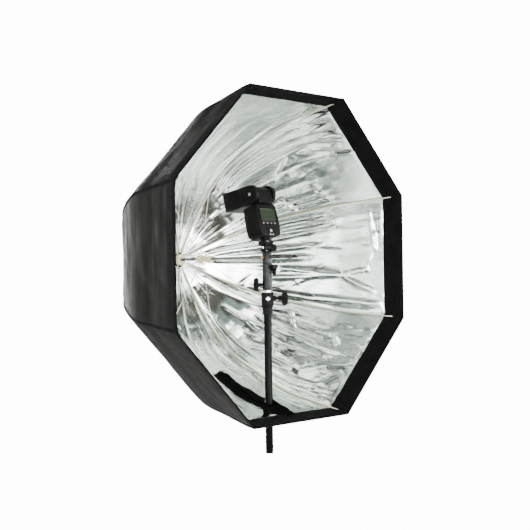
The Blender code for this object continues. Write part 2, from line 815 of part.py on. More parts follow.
def build_shoe(lean):
    """The shoe plate with its two rails, on a barrel that turns between the fork's ears."""
    barrel = turned("barrel", tube_outline(0.0068, 0.0025, -0.0094, 0.0094, 0.0004), 20, True)
    barrel.transform(Matrix.Rotation(math.pi / 2, 4, "Y"))
    plate_low, plate_high = 0.0076, FOOT_BOTTOM - GAP
    shoe = joined_mesh(
        "shoe",
        [
            barrel,
            box("shoe_neck", (-0.0085, -0.0060, 0.0040), (0.0085, 0.0060, 0.0090)),
            box("shoe_plate", (-0.0145, -0.0125, plate_low), (0.0145, 0.0125, plate_high)),
            box("shoe_wall_left", (-0.0145, -0.0125, plate_low), (-0.0100, 0.0125, 0.0170)),
            box("shoe_wall_right", (0.0100, -0.0125, plate_low), (0.0145, 0.0125, 0.0170)),
            box("shoe_lip_left", (-0.0130, -0.0125, 0.0152), (-0.0072, 0.0125, 0.0170)),
            box("shoe_lip_right", (0.0072, -0.0125, 0.0152), (0.0130, 0.0125, 0.0170)),
        ],
    )
    add_object("shoe", shoe, "satin_black", lean)


# Flash


def body_outline(grow=0.0):
    """The flash body seen from its screen: straight sides that taper in at the bottom."""
    half = BODY_HALF_WIDTH + grow
    lower = 0.0230 + grow
    top, bottom = BODY_TOP + grow, BODY_BOTTOM - grow
    return [
        (-lower, bottom),
        (lower, bottom),
        (lower + 0.0050, bottom + 0.0015),
        (half, bottom + 0.0170),
        (half, top - 0.0300),
        (half - 0.0030, top - 0.0060),
        (half - 0.0060, top - 0.0012),
        (half - 0.0090, top),
        (-half + 0.0090, top),
        (-half + 0.0060, top - 0.0012),
        (-half + 0.0030, top - 0.0060),
        (-half, top - 0.0300),
        (-half, bottom + 0.0170),
        (-lower - 0.0050, bottom + 0.0015),
    ]


def build_flash_body(lean):
    shell = prism("flash_shell", body_outline(), -BODY_HALF_DEPTH, BODY_HALF_DEPTH, "Y", 0.0030)
    body = add_object("flash_body", shell, "flash_black", lean)
    rear = -BODY_HALF_DEPTH
    low = SCREEN_Z - SCREEN_HEIGHT / 2
    pocket = box(
        "screen_pocket",
        (-SCREEN_WIDTH / 2 - GAP, rear - 0.002, low - GAP),
        (SCREEN_WIDTH / 2 + GAP, rear + 0.0022, low + SCREEN_HEIGHT + GAP),
    )
    boolean(body, add_object("screen_pocket", pocket, None, lean), "DIFFERENCE")
    window = box(
        "screen",
        (-SCREEN_WIDTH / 2, rear + 0.0003, low),
        (SCREEN_WIDTH / 2, rear + 0.0018, low + SCREEN_HEIGHT),
        0.0004,
        1,
    )
    add_object("screen_window", window, "screen_green", lean)
    holes = bmesh.new()
    for index in range(4):
        place = Matrix.Translation((button_x(index), rear, BUTTON_ROW_Z))
        bmesh.ops.create_cube(holes, size=1, matrix=place @ Matrix.Diagonal((0.0092, 0.0072, 0.0052, 1)))
    boolean(body, add_object("button_holes", finish_mesh("button_holes", holes), None, lean), "DIFFERENCE")
    dial_hole = turned("dial_hole", rod_outline(0.0110, -0.0030, 0.0042, 0.0001), 24)
    dial_frame = dial_place()
    boolean(body, add_object("dial_hole", dial_hole, None, lean, dial_frame), "DIFFERENCE")
    door_pocket = box("door_pocket", (0.0352, -0.0195, 0.0440), (0.0400, 0.0195, 0.0960))
    boolean(body, add_object("door_pocket", door_pocket, None, lean), "DIFFERENCE")
    door = box("door", (0.0355, -0.0190, 0.0530), (0.0368, 0.0190, 0.0956), 0.0004, 1)
    add_object("battery_door", door, "flash_black", lean)
    foot_neck_hole = turned("neck_hole", rod_outline(0.0100, 0.0200, 0.0300, 0.0001), 24)
    boolean(body, add_object("foot_neck_hole", foot_neck_hole, None, lean), "DIFFERENCE")


def button_x(index):
    return (index - 1.5) * BUTTON_PITCH


def dial_place():
    """A frame at the dial's centre on the screen side, whose local Z points into the body."""
    turn = Matrix.Rotation(-math.pi / 2, 4, "X")
    return Matrix.Translation((0, -BODY_HALF_DEPTH, DIAL_Z)) @ turn


def build_controls(lean):
    rear = -BODY_HALF_DEPTH
    for index in range(4):
        key = box(
            "button",
            (-0.0042, -0.0010, -0.0022),
            (0.0042, 0.0018, 0.0022),
            0.0006,
            1,
        )
        place = Matrix.Translation((button_x(index), rear, BUTTON_ROW_Z))
        add_object(f"button_{index + 1}", key, "flash_black", lean, place)
    dial = turned("dial", tube_outline(0.0106, 0.0044, -0.0012, 0.0034, 0.0006), 20, True)
    add_object("select_dial", dial, "knob_black", lean, dial_place())
    set_key = turned(
        "set_key", ((0, -0.0014), (0.0034, -0.0014), (0.0040, -0.0008), (0.0040, 0.0020), (0, 0.0020)), 20
    )
    add_object("set_button", set_key, "grey_key", lean, dial_place())


def build_foot(lean):
    """The metal foot in the shoe, and the ring that clamps it there."""
    foot = joined_mesh(
        "foot",
        [
            box("foot_plate", (-0.0093, -0.0090, FOOT_BOTTOM), (0.0093, 0.0090, FOOT_BOTTOM + 0.0020)),
            turned("foot_neck", rod_outline(0.0060, FOOT_BOTTOM + 0.0010, 0.0280, 0.0004), 20),
        ],
    )
    add_object("flash_foot", foot, "bright_metal", lean)
    ring = turned("lock_ring", tube_outline(0.0128, 0.0064, 0.0174, 0.0216, 0.0008), 20, True)
    add_object("foot_lock_ring", ring, "knob_black", lean)


def head_outline(grow=0.0):
    """The head seen from its side: round about its tilt axis, and flared towards the lamp."""
    half = CHEEK_RADIUS - grow
    front = HEAD_FRONT_Y - grow
    centre = (HEAD_AXIS_Y, HEAD_AXIS_Z)
    return [
        *arc(centre, half, 270, 90, 14),
        (HEAD_FRONT_Y - 0.0300, HEAD_AXIS_Z + half + 0.0052),
        (front, HEAD_AXIS_Z + half + 0.0090),
        (front, HEAD_AXIS_Z - half + 0.0055),
        (HEAD_FRONT_Y - 0.0300, HEAD_AXIS_Z - half + 0.0022),
    ]


def build_head(lean):
    turret_outline = [
        (HEAD_AXIS_Y - TURRET_RADIUS, BODY_TOP + 0.0007),
        (HEAD_AXIS_Y + 0.0076, BODY_TOP + 0.0007),
        *arc((HEAD_AXIS_Y, HEAD_AXIS_Z), TURRET_RADIUS, -52, 180, 14),
    ]
    base_outline = ((0, 0), (0.0145, 0), (0.0145, 0.0009), (0, 0.0009))
    turret = joined_mesh(
        "turret",
        [
            prism("turret_block", turret_outline, -TURRET_HALF_WIDTH, TURRET_HALF_WIDTH, "X"),
            turned_at("turret_base", base_outline, (0, HEAD_AXIS_Y, BODY_TOP + GAP)),
        ],
    )
    add_object("head_turret", turret, "flash_black", lean)
    shell = prism("head", head_outline(), -HEAD_HALF_WIDTH, HEAD_HALF_WIDTH, "X", 0.0022)
    head = add_object("flash_head", shell, "flash_black", lean)
    across = Matrix.Translation((0, HEAD_AXIS_Y, HEAD_AXIS_Z)) @ Matrix.Rotation(math.pi / 2, 4, "Y")
    half_slot = TURRET_HALF_WIDTH + RUNNING
    slot = turned("turret_slot", rod_outline(CHEEK_RADIUS + 0.0020, -half_slot, half_slot, 0.0001), 32)
    boolean(head, add_object("turret_slot", slot, None, lean, across), "DIFFERENCE")
    mouth = box("lamp_mouth", (-0.0320, HEAD_FRONT_Y - 0.0060, 0.1222), (0.0320, 0.1000, 0.1552))
    boolean(head, add_object("lamp_mouth", mouth, None, lean), "DIFFERENCE")
    lens_low, lens_high = (-0.0316, HEAD_FRONT_Y - 0.0056, 0.1226), (0.0316, HEAD_FRONT_Y - 0.0022, 0.1548)
    lens = box("lens", lens_low, lens_high, 0.0005, 1)
    add_object("head_lens", lens, "clear_lens", lean)
    card_slot = box("card_slot", (-0.0264, HEAD_FRONT_Y - 0.0420, 0.1577), (0.0264, 0.1000, 0.1593))
    boolean(head, add_object("card_slot", card_slot, None, lean), "DIFFERENCE")
    card = box("card", (-0.0260, HEAD_FRONT_Y - 0.0410, 0.1581), (0.0260, HEAD_FRONT_Y - 0.0006, 0.1589))
    add_object("bounce_card", card, "white_card", lean)
    key_frame = Matrix.Translation((-HEAD_HALF_WIDTH, HEAD_AXIS_Y, HEAD_AXIS_Z)) @ Matrix.Rotation(
        math.pi / 2, 4, "Y"
    )
    key_hole = turned("key_hole", rod_outline(0.0046, -0.0030, 0.0040, 0.0001), 20)
    boolean(head, add_object("key_hole", key_hole, None, lean, key_frame), "DIFFERENCE")
    key = turned("key", rod_outline(0.0042, -0.0010, 0.0022, 0.0005), 20)
    add_object("tilt_release_button", key, "grey_key", lean, key_frame)


def turned_at(name, outline, place):
    mesh = turned(name, outline)
    mesh.transform(Matrix.Translation(place))
    return mesh


def build():
    clear_scene()
    make_materials()
    build_stand()
    build_adaptor()
    build_block()
    flash_frame = build_tilt_head()
    build_flash_body(flash_frame)
    build_controls(flash_frame)
    build_foot(flash_frame)
    build_head(flash_frame)
    build_shaft()
    build_hub()
    build_runner()
    build_struts(build_ribs())
    for index in range(RIB_COUNT):
        build_cover_panel(index)


build()
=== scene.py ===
"""The looks of an octagonal umbrella softbox on its stand bracket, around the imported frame.

Units are metres, in the frame's own axes: +Z is up and the softbox opens towards -Y. "Depth" is
measured backwards from the plane of the opening, "reach" outwards from the softbox's axis.
"""
import math

import bmesh
import bpy
import numpy as np
from mathutils import Matrix, Vector


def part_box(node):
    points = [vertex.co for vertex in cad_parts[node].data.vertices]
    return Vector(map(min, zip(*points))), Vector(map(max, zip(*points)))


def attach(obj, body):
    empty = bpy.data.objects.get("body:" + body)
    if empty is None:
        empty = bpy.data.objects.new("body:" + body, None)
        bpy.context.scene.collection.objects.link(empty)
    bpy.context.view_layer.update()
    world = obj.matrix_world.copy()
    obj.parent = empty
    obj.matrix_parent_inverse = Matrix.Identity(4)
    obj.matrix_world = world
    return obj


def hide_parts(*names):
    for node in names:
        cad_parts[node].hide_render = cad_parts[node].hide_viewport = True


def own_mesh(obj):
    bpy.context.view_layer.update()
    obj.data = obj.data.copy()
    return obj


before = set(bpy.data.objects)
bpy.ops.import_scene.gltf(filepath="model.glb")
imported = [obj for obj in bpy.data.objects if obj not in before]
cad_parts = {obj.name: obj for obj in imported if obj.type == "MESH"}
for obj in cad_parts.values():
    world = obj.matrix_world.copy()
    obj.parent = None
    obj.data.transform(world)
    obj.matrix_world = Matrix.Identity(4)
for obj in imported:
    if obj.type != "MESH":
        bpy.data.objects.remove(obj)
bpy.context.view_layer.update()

# Places taken from the frame
HUB_LOW, HUB_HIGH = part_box("crown_hub")
SHAFT_Z = (HUB_LOW.z + HUB_HIGH.z) / 2
OPENING_Y = min(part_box(f"cover_panel_{k}")[0].y for k in range(1, 9))

# The softbox's ribs, as the part has them: (depth, reach) of a rib's centre line
RIB_COUNT = 8
RIB_STEP = 2 * math.pi / RIB_COUNT
FIRST_RIB_ANGLE = math.radians(22.5)
HUB_DEPTH = 0.4586
HINGE_REACH = 0.0120
RIB_OUTLINE = (
    (HUB_DEPTH, HINGE_REACH), (0.4450, 0.105), (0.4196, 0.195), (0.3720, 0.273), (0.2950, 0.331),
    (0.2000, 0.383), (0.1100, 0.406), (0.0300, 0.4255),
)
HEM_REACH = 0.4330
# The reach of the hole that the cloth leaves round the hub
HUB_HOLE = 0.0180
# Where the ribs' strut lugs press on the lining, along the cloth from its front edge
STRUT_STATION = 0.4994

# Cloth layers, as distances outwards from the ribs' centre line
LINING_OFFSET = 0.0026
COVER_OFFSET = 0.0044
# The reach of the cloth's front edge before its layer's own offset
FRONT_REACH = HEM_REACH - LINING_OFFSET
HEM_DEPTH = 0.0580
LINING_FRONT_DEPTH = 0.0480
# A place inside the softbox, to tell which way its cloth faces
INSIDE = np.array((0.0, OPENING_Y + 0.2, SHAFT_Z))

# The slit in the bottom panel
SLIT_PANEL = 6
SLIT_FRONT_DEPTH = 0.050
SLIT_BACK_DEPTH = 0.290
SLIT_OPEN_HALF = 0.0118

# The bracket and the flash, as the part has them
COLLAR_KNOB_Z = 0.3890
BRACKET_RADIUS = 0.01225
STUD_KNOB_Z = 0.4242
WING_KNOB_Z = 0.4638
TILT_AXIS_Z = 0.5165
FLASH_LEAN = -14
BUTTON_PITCH = 0.0135
BUTTON_PLACES = [(index - 1.5) * BUTTON_PITCH for index in range(4)]
FLASH_REAR = -0.0250

# Each gore of cloth is cut into bands at these depths
BAND_DEPTHS = (0.0, 0.105, 0.215, 0.330, 0.425, 1.0)


# Materials


class Nodes:
    """A node tree under construction, with short ways to add and join nodes."""

    def __init__(self, tree):
        self.tree = tree

    def join(self, value, socket):
        """Links a socket to another one, or gives it a value."""
        if isinstance(value, bpy.types.NodeSocket):
            self.tree.links.new(value, socket)
        else:
            socket.default_value = value

    def node(self, kind, inputs=None, **settings):
        made = self.tree.nodes.new(kind)
        for key, value in settings.items():
            setattr(made, key, value)
        for key, value in (inputs or {}).items():
            self.join(value, made.inputs[key])
        return made

    def noise(self, place, scale, detail=4.0, roughness=0.55):
        inputs = {"Vector": place, "Scale": scale, "Detail": detail, "Roughness": roughness}
        return self.node("ShaderNodeTexNoise", inputs).outputs["Fac"]

    def ramp(self, value, stops):
        """A colour ramp through (position, colour) stops; a single number is a grey."""
        made = self.node("ShaderNodeValToRGB", {"Fac": value})
        elements = made.color_ramp.elements
        while len(elements) < len(stops):
            elements.new(0.5)
        for element, (position, colour) in zip(elements, stops):
            element.position = position
            element.color = (*(colour if isinstance(colour, tuple) else (colour,) * 3), 1.0)
        return made.outputs["Color"]

    def maths(self, operation, *values):
        return self.node("ShaderNodeMath", dict(enumerate(values)), operation=operation).outputs[0]


class Surface(Nodes):
    """A node material under construction."""

    def __init__(self, name):
        self.material = bpy.data.materials.new(name)
        self.material.use_nodes = True
        super().__init__(self.material.node_tree)
        self.shader = self.tree.nodes["Principled BSDF"]

    def set(self, **values):
        for key, value in values.items():
            value = (*value, 1.0) if isinstance(value, tuple) else value
            self.join(value, self.shader.inputs[key.replace("_", " ")])

    def scaled(self, place, scale):
        return self.node("ShaderNodeMapping", {"Vector": place, "Scale": scale}).outputs["Vector"]

    def object_place(self, scale=(1, 1, 1)):
        return self.scaled(self.node("ShaderNodeTexCoord").outputs["Object"], scale)

    def cloth_place(self, scale=(1, 1, 1)):
        """The place on the flat cloth: across, along and a number for the panel."""
        cloth = self.node("ShaderNodeAttribute", attribute_name="cloth").outputs["Vector"]
        return self.scaled(cloth, scale)

    def bump(self, height, strength, distance, under=None):
        inputs = {"Height": height, "Strength": strength, "Distance": distance}
        if under:
            inputs["Normal"] = under
        return self.node("ShaderNodeBump", inputs).outputs["Normal"]


def weave(surface, pitch):
    """Height of a plain weave with this thread pitch, on the flat cloth."""
    place = surface.cloth_place((1 / pitch, 1 / pitch, 1))
    parts = surface.node("ShaderNodeSeparateXYZ", {"Vector": place})
    across = surface.maths("SINE", surface.maths("MULTIPLY", parts.outputs["X"], math.pi))
    along = surface.maths("SINE", surface.maths("MULTIPLY", parts.outputs["Y"], math.pi))
    return surface.maths("MULTIPLY", across, along)


def cover_material():
    s = Surface("cover_nylon")
    broad = s.noise(s.cloth_place((9, 3, 1)), 1.0, 3.0)
    streaks = s.noise(s.cloth_place((7, 90, 1)), 1.0, 4.0)
    tone = s.maths("ADD", s.maths("MULTIPLY", broad, 0.6), s.maths("MULTIPLY", streaks, 0.4))
    dark, light = (0.0012, 0.0011, 0.0011), (0.0036, 0.0032, 0.0032)
    s.set(Base_Color=s.ramp(tone, ((0.30, dark), (0.72, light))))
    s.set(Roughness=s.ramp(streaks, ((0.3, 0.58), (0.7, 0.76))))
    fine = s.bump(weave(s, 0.0006), 0.25, 0.0002)
    s.set(Normal=s.bump(streaks, 0.35, 0.0012, fine))
    s.set(Sheen_Weight=0.01, Sheen_Roughness=0.45, Sheen_Tint=(0.75, 0.72, 0.72))
    s.set(Specular_IOR_Level=0.03)
    return s.material


def hem_material(name, dark, light):
    """Loop tape between two greys, a little blue in the dark and pink in the light."""
    s = Surface(name)
    fuzz = s.noise(s.cloth_place((900, 900, 1)), 1.0, 5.0, 0.7)
    patches = s.noise(s.cloth_place((22, 30, 1)), 1.0, 3.0)
    dark, light = (dark, dark, dark * 1.05), (light, light * 0.97, light)
    s.set(Base_Color=s.ramp(patches, ((0.3, dark), (0.75, light))))
    s.set(Roughness=s.ramp(fuzz, ((0.3, 0.82), (0.7, 0.97))))
    s.set(Normal=s.bump(fuzz, 0.55, 0.0006))
    s.set(Specular_IOR_Level=0.04)
    return s.material


def lining_material():
    s = Surface("lining_foil")
    fine = s.noise(s.cloth_place((240, 30, 1)), 1.0, 5.0, 0.6)
    crinkle = s.noise(s.cloth_place((34, 16, 1)), 1.0, 6.0, 0.62)
    patches = s.noise(s.cloth_place((6, 4, 1)), 1.0, 2.0)
    s.set(Metallic=1.0)
    s.set(Base_Color=s.ramp(patches, ((0.3, (0.58, 0.625, 0.59)), (0.7, (0.76, 0.785, 0.765)))))
    s.set(Roughness=s.ramp(crinkle, ((0.3, 0.05), (0.7, 0.12))))
    threads = s.bump(weave(s, 0.0010), 0.10, 0.0002)
    streaks = s.bump(fine, 0.12, 0.0010, threads)
    s.set(Normal=s.bump(crinkle, 0.22, 0.0050, streaks))
    return s.material


def painted_material():
    s = Surface("gloss_black_paint")
    specks = s.noise(s.object_place((90, 90, 60)), 6.0, 5.0, 0.7)
    orange_peel = s.noise(s.object_place((1, 1, 1)), 420.0, 2.0)
    dark, light = (0.0016, 0.0016, 0.0018), (0.0050, 0.0048, 0.0048)
    s.set(Base_Color=s.ramp(specks, ((0.35, dark), (0.80, light))))
    s.set(Roughness=s.ramp(specks, ((0.3, 0.10), (0.75, 0.22))))
    s.set(Normal=s.bump(orange_peel, 0.08, 0.0003))
    s.set(Specular_IOR_Level=0.02, Coat_Weight=0.02, Coat_Roughness=0.05)
    return s.material


def moulded_material(name, dark, light, low, high, grain, depth, coat=0.0):
    """A moulded or cast surface: a fine grain, patches of wear and uneven gloss."""
    s = Surface(name)
    fine = s.noise(s.object_place(), grain, 3.0, 0.6)
    patches = s.noise(s.object_place(), 70.0, 4.0, 0.6)
    s.set(Base_Color=s.ramp(patches, ((0.30, dark), (0.75, light))))
    s.set(Roughness=s.ramp(patches, ((0.30, low), (0.72, high))))
    s.set(Normal=s.bump(fine, depth, 0.0003))
    s.set(Specular_IOR_Level=0.07, Coat_Weight=coat, Coat_Roughness=0.12)
    return s.material


def metal_material(name, dark, light, low, high, grain):
    """A machined metal with fine scratches along its grain and a little tarnish."""
    s = Surface(name)
    scratches = s.noise(s.object_place(grain), 1.0, 4.0, 0.65)
    tarnish = s.noise(s.object_place(), 60.0, 3.0)
    s.set(Base_Color=s.ramp(tarnish, ((0.30, dark), (0.70, light))))
    s.set(Roughness=s.ramp(scratches, ((0.30, low), (0.75, high))))
    s.set(Normal=s.bump(scratches, 0.18, 0.0002))
    s.set(Metallic=1.0)
    return s.material


def ivory_material():
    s = Surface("rib_ivory")
    fibres = s.noise(s.object_place(), 240.0, 4.0, 0.6)
    s.set(Base_Color=s.ramp(fibres, ((0.30, (0.46, 0.42, 0.31)), (0.72, (0.70, 0.66, 0.54)))))
    s.set(Roughness=s.ramp(fibres, ((0.30, 0.34), (0.72, 0.52))))
    s.set(Normal=s.bump(fibres, 0.15, 0.0003))
    s.set(Coat_Weight=0.15, Coat_Roughness=0.2)
    return s.material


def screen_material():
    """Dark green glass over an unlit display with a faint grid of cells."""
    s = Surface("screen_glass")
    place = s.node("ShaderNodeSeparateXYZ", {"Vector": s.object_place((520, 520, 520))})
    lines = [s.maths("SINE", place.outputs[axis]) for axis in "XZ"]
    display, grid = (0.0150, 0.0230, 0.0140), (0.0110, 0.0170, 0.0105)
    s.set(Base_Color=s.ramp(s.maths("MAXIMUM", *lines), ((0.90, display), (1.0, grid))))
    smears = s.noise(s.object_place((1, 1, 3)), 30.0, 3.0)
    s.set(Roughness=s.ramp(smears, ((0.3, 0.06), (0.7, 0.16))))
    s.set(Coat_Weight=0.9, Coat_Roughness=0.04)
    return s.material


def lens_material():
    """The lamp's window: clear plastic with fine upright ridges."""
    s = Surface("lamp_window")
    place = s.node("ShaderNodeSeparateXYZ", {"Vector": s.object_place((2600, 1, 1))})
    ridges = s.maths("SINE", place.outputs["X"])
    s.set(Base_Color=s.ramp(ridges, ((0.0, (0.60, 0.62, 0.64)), (1.0, (0.82, 0.84, 0.86)))))
    s.set(Roughness=0.12, Normal=s.bump(ridges, 0.5, 0.0003))
    s.set(Transmission_Weight=0.35, Coat_Weight=0.5)
    return s.material


def plain_floor_material():
    s = Surface("floor_white")
    s.set(Base_Color=(0.60, 0.60, 0.60), Roughness=0.8)
    s.set(Emission_Color=(1.0, 1.0, 0.98), Emission_Strength=0.8)
    return s.material


MATERIALS = {
    "cover": cover_material(),
    "hem": hem_material("hem_loop_tape", 0.0018, 0.0040),
    "pocket": hem_material("pocket_tape", 0.0020, 0.0042),
    "flap": hem_material("flap_tape", 0.0010, 0.0026),
    "lining": lining_material(),
    "paint": painted_material(),
    "ivory": ivory_material(),
    "screen": screen_material(),
    "lens": lens_material(),
}
# Name, darkest and lightest colour, lowest and highest roughness, the grain's scale and depth, coat
MOULDED = {
    "satin": ("satin_black", 0.0028, 0.0062, 0.34, 0.55, 900.0, 0.30),
    "knob": ("knob_plastic", 0.0022, 0.0048, 0.42, 0.62, 1300.0, 0.35),
    "ring": ("ring_plastic", 0.0030, 0.0062, 0.30, 0.45, 1300.0, 0.20),
    "flash": ("flash_plastic", 0.0016, 0.0036, 0.40, 0.58, 1700.0, 0.40),
    "gloss": ("bezel_plastic", 0.0016, 0.0030, 0.16, 0.28, 1700.0, 0.08, 0.4),
    "key": ("key_rubber", 0.0040, 0.0080, 0.55, 0.72, 1500.0, 0.25),
    "grey": ("grey_key", (0.20, 0.205, 0.21), (0.33, 0.34, 0.35), 0.40, 0.55, 1200.0, 0.20),
    "cream": ("runner_cream", (0.55, 0.48, 0.31), (0.72, 0.65, 0.46), 0.30, 0.46, 800.0, 0.15),
    "card": ("white_card", 0.76, 0.86, 0.42, 0.55, 900.0, 0.10),
    "mark": ("key_marks", 0.60, 0.78, 0.45, 0.60, 900.0, 0.05),
}
# Name, darkest and lightest colour, lowest and highest roughness, the scratches' scale
METALS = {
    "gunmetal": ("gunmetal", (0.014, 0.0145, 0.015), (0.028, 0.029, 0.030), 0.30, 0.46, (500, 500, 30)),
    "steel": ("shaft_steel", (0.07, 0.07, 0.066), (0.13, 0.13, 0.125), 0.30, 0.46, (300, 30, 300)),
    "bright": ("bright_metal", (0.62, 0.62, 0.63), (0.80, 0.80, 0.80), 0.16, 0.34, (600, 60, 600)),
    "brass": ("brass", (0.48, 0.34, 0.15), (0.72, 0.55, 0.28), 0.22, 0.38, (500, 500, 500)),
}
MATERIALS.update({look: moulded_material(*row) for look, row in MOULDED.items()})
MATERIALS.update({look: metal_material(*row) for look, row in METALS.items()})


# The studio

# The camera as fitted to the photograph, its angles in degrees
CAMERA_LENS = 71.32
CAMERA_AZIMUTH = -45.07
CAMERA_ELEVATION = -0.48
CAMERA_ROLL = -0.77
CAMERA_DISTANCE = 2.465
CAMERA_TARGET = Vector((-0.1284, OPENING_Y, SHAFT_Z - 0.0211))

FLOOR_Z = -1.15
FLOOR_RADIUS = 2.3

# What the camera sees behind the object, and the room that it is lit by and mirrors
BACKDROP_STRENGTH = 14.0
ROOM_BAND = (19.0, 19.3, 19.0)
ROOM_DIM = (0.21, 0.20, 0.165)
ROOM_PALE = (0.60, 0.74, 0.68)
ROOM_GAP = (0.03, 0.026, 0.020)


def make_camera():
    """A long lens at the height of the softbox's axis, level with it and turned to its left."""
    data = bpy.data.cameras.new("camera")
    data.lens = CAMERA_LENS
    data.sensor_width = 36.0
    camera = bpy.data.objects.new("camera", data)
    bpy.context.scene.collection.objects.link(camera)
    azimuth, elevation = math.radians(CAMERA_AZIMUTH), math.radians(CAMERA_ELEVATION)
    level = math.cos(elevation)
    back = Vector((math.sin(azimuth) * level, -math.cos(azimuth) * level, math.sin(elevation)))
    roll = Matrix.Rotation(math.radians(CAMERA_ROLL), 4, "Z")
    turn = (-back).to_track_quat("-Z", "Y").to_matrix().to_4x4() @ roll
    camera.matrix_world = Matrix.Translation(CAMERA_TARGET + back * CAMERA_DISTANCE) @ turn
    bpy.context.scene.camera = camera


def make_floor():
    """The floor that the stand's feet would rest on, below the length of stand that is modelled."""
    bm = bmesh.new()
    bmesh.ops.create_circle(bm, cap_ends=True, segments=96, radius=FLOOR_RADIUS)
    mesh = bpy.data.meshes.new("floor")
    bm.to_mesh(mesh)
    bm.free()
    mesh.materials.append(plain_floor_material())
    floor = bpy.data.objects.new("floor", mesh)
    floor.location.z = FLOOR_Z
    bpy.context.scene.collection.objects.link(floor)


def make_world():
    """A white backdrop behind the object.

    Reflections and light see a room instead: a bright band at eye level with dark gaps in it, dim
    walls above and below it, and a paler floor and ceiling.
    """
    world = bpy.data.worlds.new("studio")
    world.use_nodes = True
    world.node_tree.nodes.clear()
    w = Nodes(world.node_tree)
    place = w.node("ShaderNodeTexCoord").outputs["Generated"]
    upward = w.node("ShaderNodeSeparateXYZ", {"Vector": place}).outputs["Z"]
    # The edges between the levels waver
    uneven = w.maths("MULTIPLY_ADD", w.noise(place, 2.6, 3.0, 0.5), 0.30, -0.15)
    height = w.maths("ADD", w.maths("ABSOLUTE", upward), uneven)
    levels = w.ramp(height, ((0.14, ROOM_BAND), (0.19, ROOM_DIM), (0.44, ROOM_DIM), (0.56, ROOM_PALE)))
    gaps = w.ramp(w.noise(place, 5.5, 1.0, 0.5), ((0.42, ROOM_GAP), (0.46, 1.0)))
    walls = w.node("ShaderNodeVectorMath", {0: levels, 1: gaps}, operation="MULTIPLY").outputs["Vector"]
    room = w.node("ShaderNodeBackground", {"Color": walls}).outputs[0]
    white = {"Color": (1, 1, 1, 1), "Strength": BACKDROP_STRENGTH}
    backdrop = w.node("ShaderNodeBackground", white).outputs[0]
    seen = w.node("ShaderNodeLightPath").outputs["Is Camera Ray"]
    mix = w.node("ShaderNodeMixShader", {0: seen, 1: room, 2: backdrop}).outputs[0]
    w.node("ShaderNodeOutputWorld", {"Surface": mix})
    bpy.context.scene.world = world


def add_light(name, place, size, power):
    """A soft rectangular light that faces the middle of the softbox."""
    data = bpy.data.lights.new(name, "AREA")
    data.shape = "RECTANGLE"
    data.size, data.size_y = size
    data.energy = power
    light = bpy.data.objects.new(name, data)
    light.location = place
    middle = Vector((0, 0, SHAFT_Z))
    light.rotation_euler = (middle - Vector(place)).to_track_quat("-Z", "Y").to_euler()
    bpy.context.scene.collection.objects.link(light)


def make_lights():
    add_light("light_left", (-3.4, -0.6, 1.2), (0.9, 1.8), 55)
    add_light("light_front", (1.9, -3.3, 0.6), (1.6, 0.7), 90)
    add_light("light_above", (-0.4, -1.6, 3.4), (1.8, 1.0), 110)
    add_light("light_behind", (2.4, 3.2, 0.9), (2.4, 2.2), 800)
    add_light("light_right_side", (3.1, 1.3, 1.1), (1.8, 2.0), 700)


# Cloth


def smooth_curve(points, steps):
    """A Catmull-Rom curve through points, with a number of steps in each span."""
    points = np.array(points, float)
    padded = np.vstack([2 * points[0] - points[1], points, 2 * points[-1] - points[-2]])
    curve = []
    for a, b, c, d in zip(padded, padded[1:], padded[2:], padded[3:]):
        for t in np.arange(steps) / steps:
            cubic = (2 * a - 5 * b + 4 * c - d) * t**2 + (3 * b - a - 3 * c + d) * t**3
            curve.append(0.5 * (2 * b + (c - a) * t + cubic))
    curve.append(points[-1])
    return np.array(curve)


def lengths(points):
    """How far along a line of points each of them is."""
    steps = np.linalg.norm(np.diff(points, axis=0), axis=1)
    return np.concatenate([[0], np.cumsum(steps)])


def cloth_curve(*front):
    """The (depth, reach) curve of the ribs behind the given front places, and its directions."""
    curve = np.vstack([*front, smooth_curve(RIB_OUTLINE, 10)[::-1]])
    along = np.gradient(curve, axis=0)
    return curve, along / np.linalg.norm(along, axis=1)[:, None]


def cloth_profile(offset, rows, front_depth=0.0, back_reach=HUB_HOLE):
    """Length, depth and reach of a layer's rows from its front edge to the hub, evenly spaced."""
    curve, along = cloth_curve((0.0, FRONT_REACH))
    curve = curve + np.stack([-along[:, 1], along[:, 0]], axis=1) * offset
    curve = curve[curve[:, 1] > back_reach]
    length = lengths(curve)
    start = np.interp(front_depth, curve[:, 0], length)
    stations = np.linspace(start, length[-1], rows)
    depth, reach = (np.interp(stations, length, curve[:, axis]) for axis in (0, 1))
    return stations, depth, reach


def rib_angle(index):
    return FIRST_RIB_ANGLE + (index - 1) * RIB_STEP


def rib_direction(index):
    angle = rib_angle(index)
    return np.array((math.cos(angle), 0.0, math.sin(angle)))


def panel_surface(panel, profile, shares, height):
    """Points of a panel between two ribs, raised along its normal by height (positive is inwards).

    shares is the place across the panel, from 0 at the first rib to 1 at the next one, in rows.
    """
    _, depth, reach = profile
    first, second = rib_direction(panel), rib_direction(panel + 1)
    direction = (1 - shares)[..., None] * first + shares[..., None] * second
    points = direction * reach[:, None, None]
    points[..., 1] = (OPENING_Y + depth)[:, None]
    points[..., 2] += SHAFT_Z
    return points + grid_normals(points) * height[..., None]


def smooth_noise(u, v, seed):
    """Repeatable value noise between -1 and 1."""
    cells = 64
    values = np.random.default_rng(seed).uniform(-1, 1, (cells, cells))
    u0, v0 = np.floor(u).astype(int), np.floor(v).astype(int)
    fu, fv = u - u0, v - v0
    fu, fv = fu * fu * (3 - 2 * fu), fv * fv * (3 - 2 * fv)

    def between(row):
        near, far = (values[(u0 + step) % cells, (v0 + row) % cells] for step in (0, 1))
        return near * (1 - fu) + far * fu

    return between(0) * (1 - fv) + between(1) * fv


def ridged(u, v, seed):
    """Noise with sharp crests, for creases."""
    return 1 - 2 * np.abs(smooth_noise(u, v, seed))


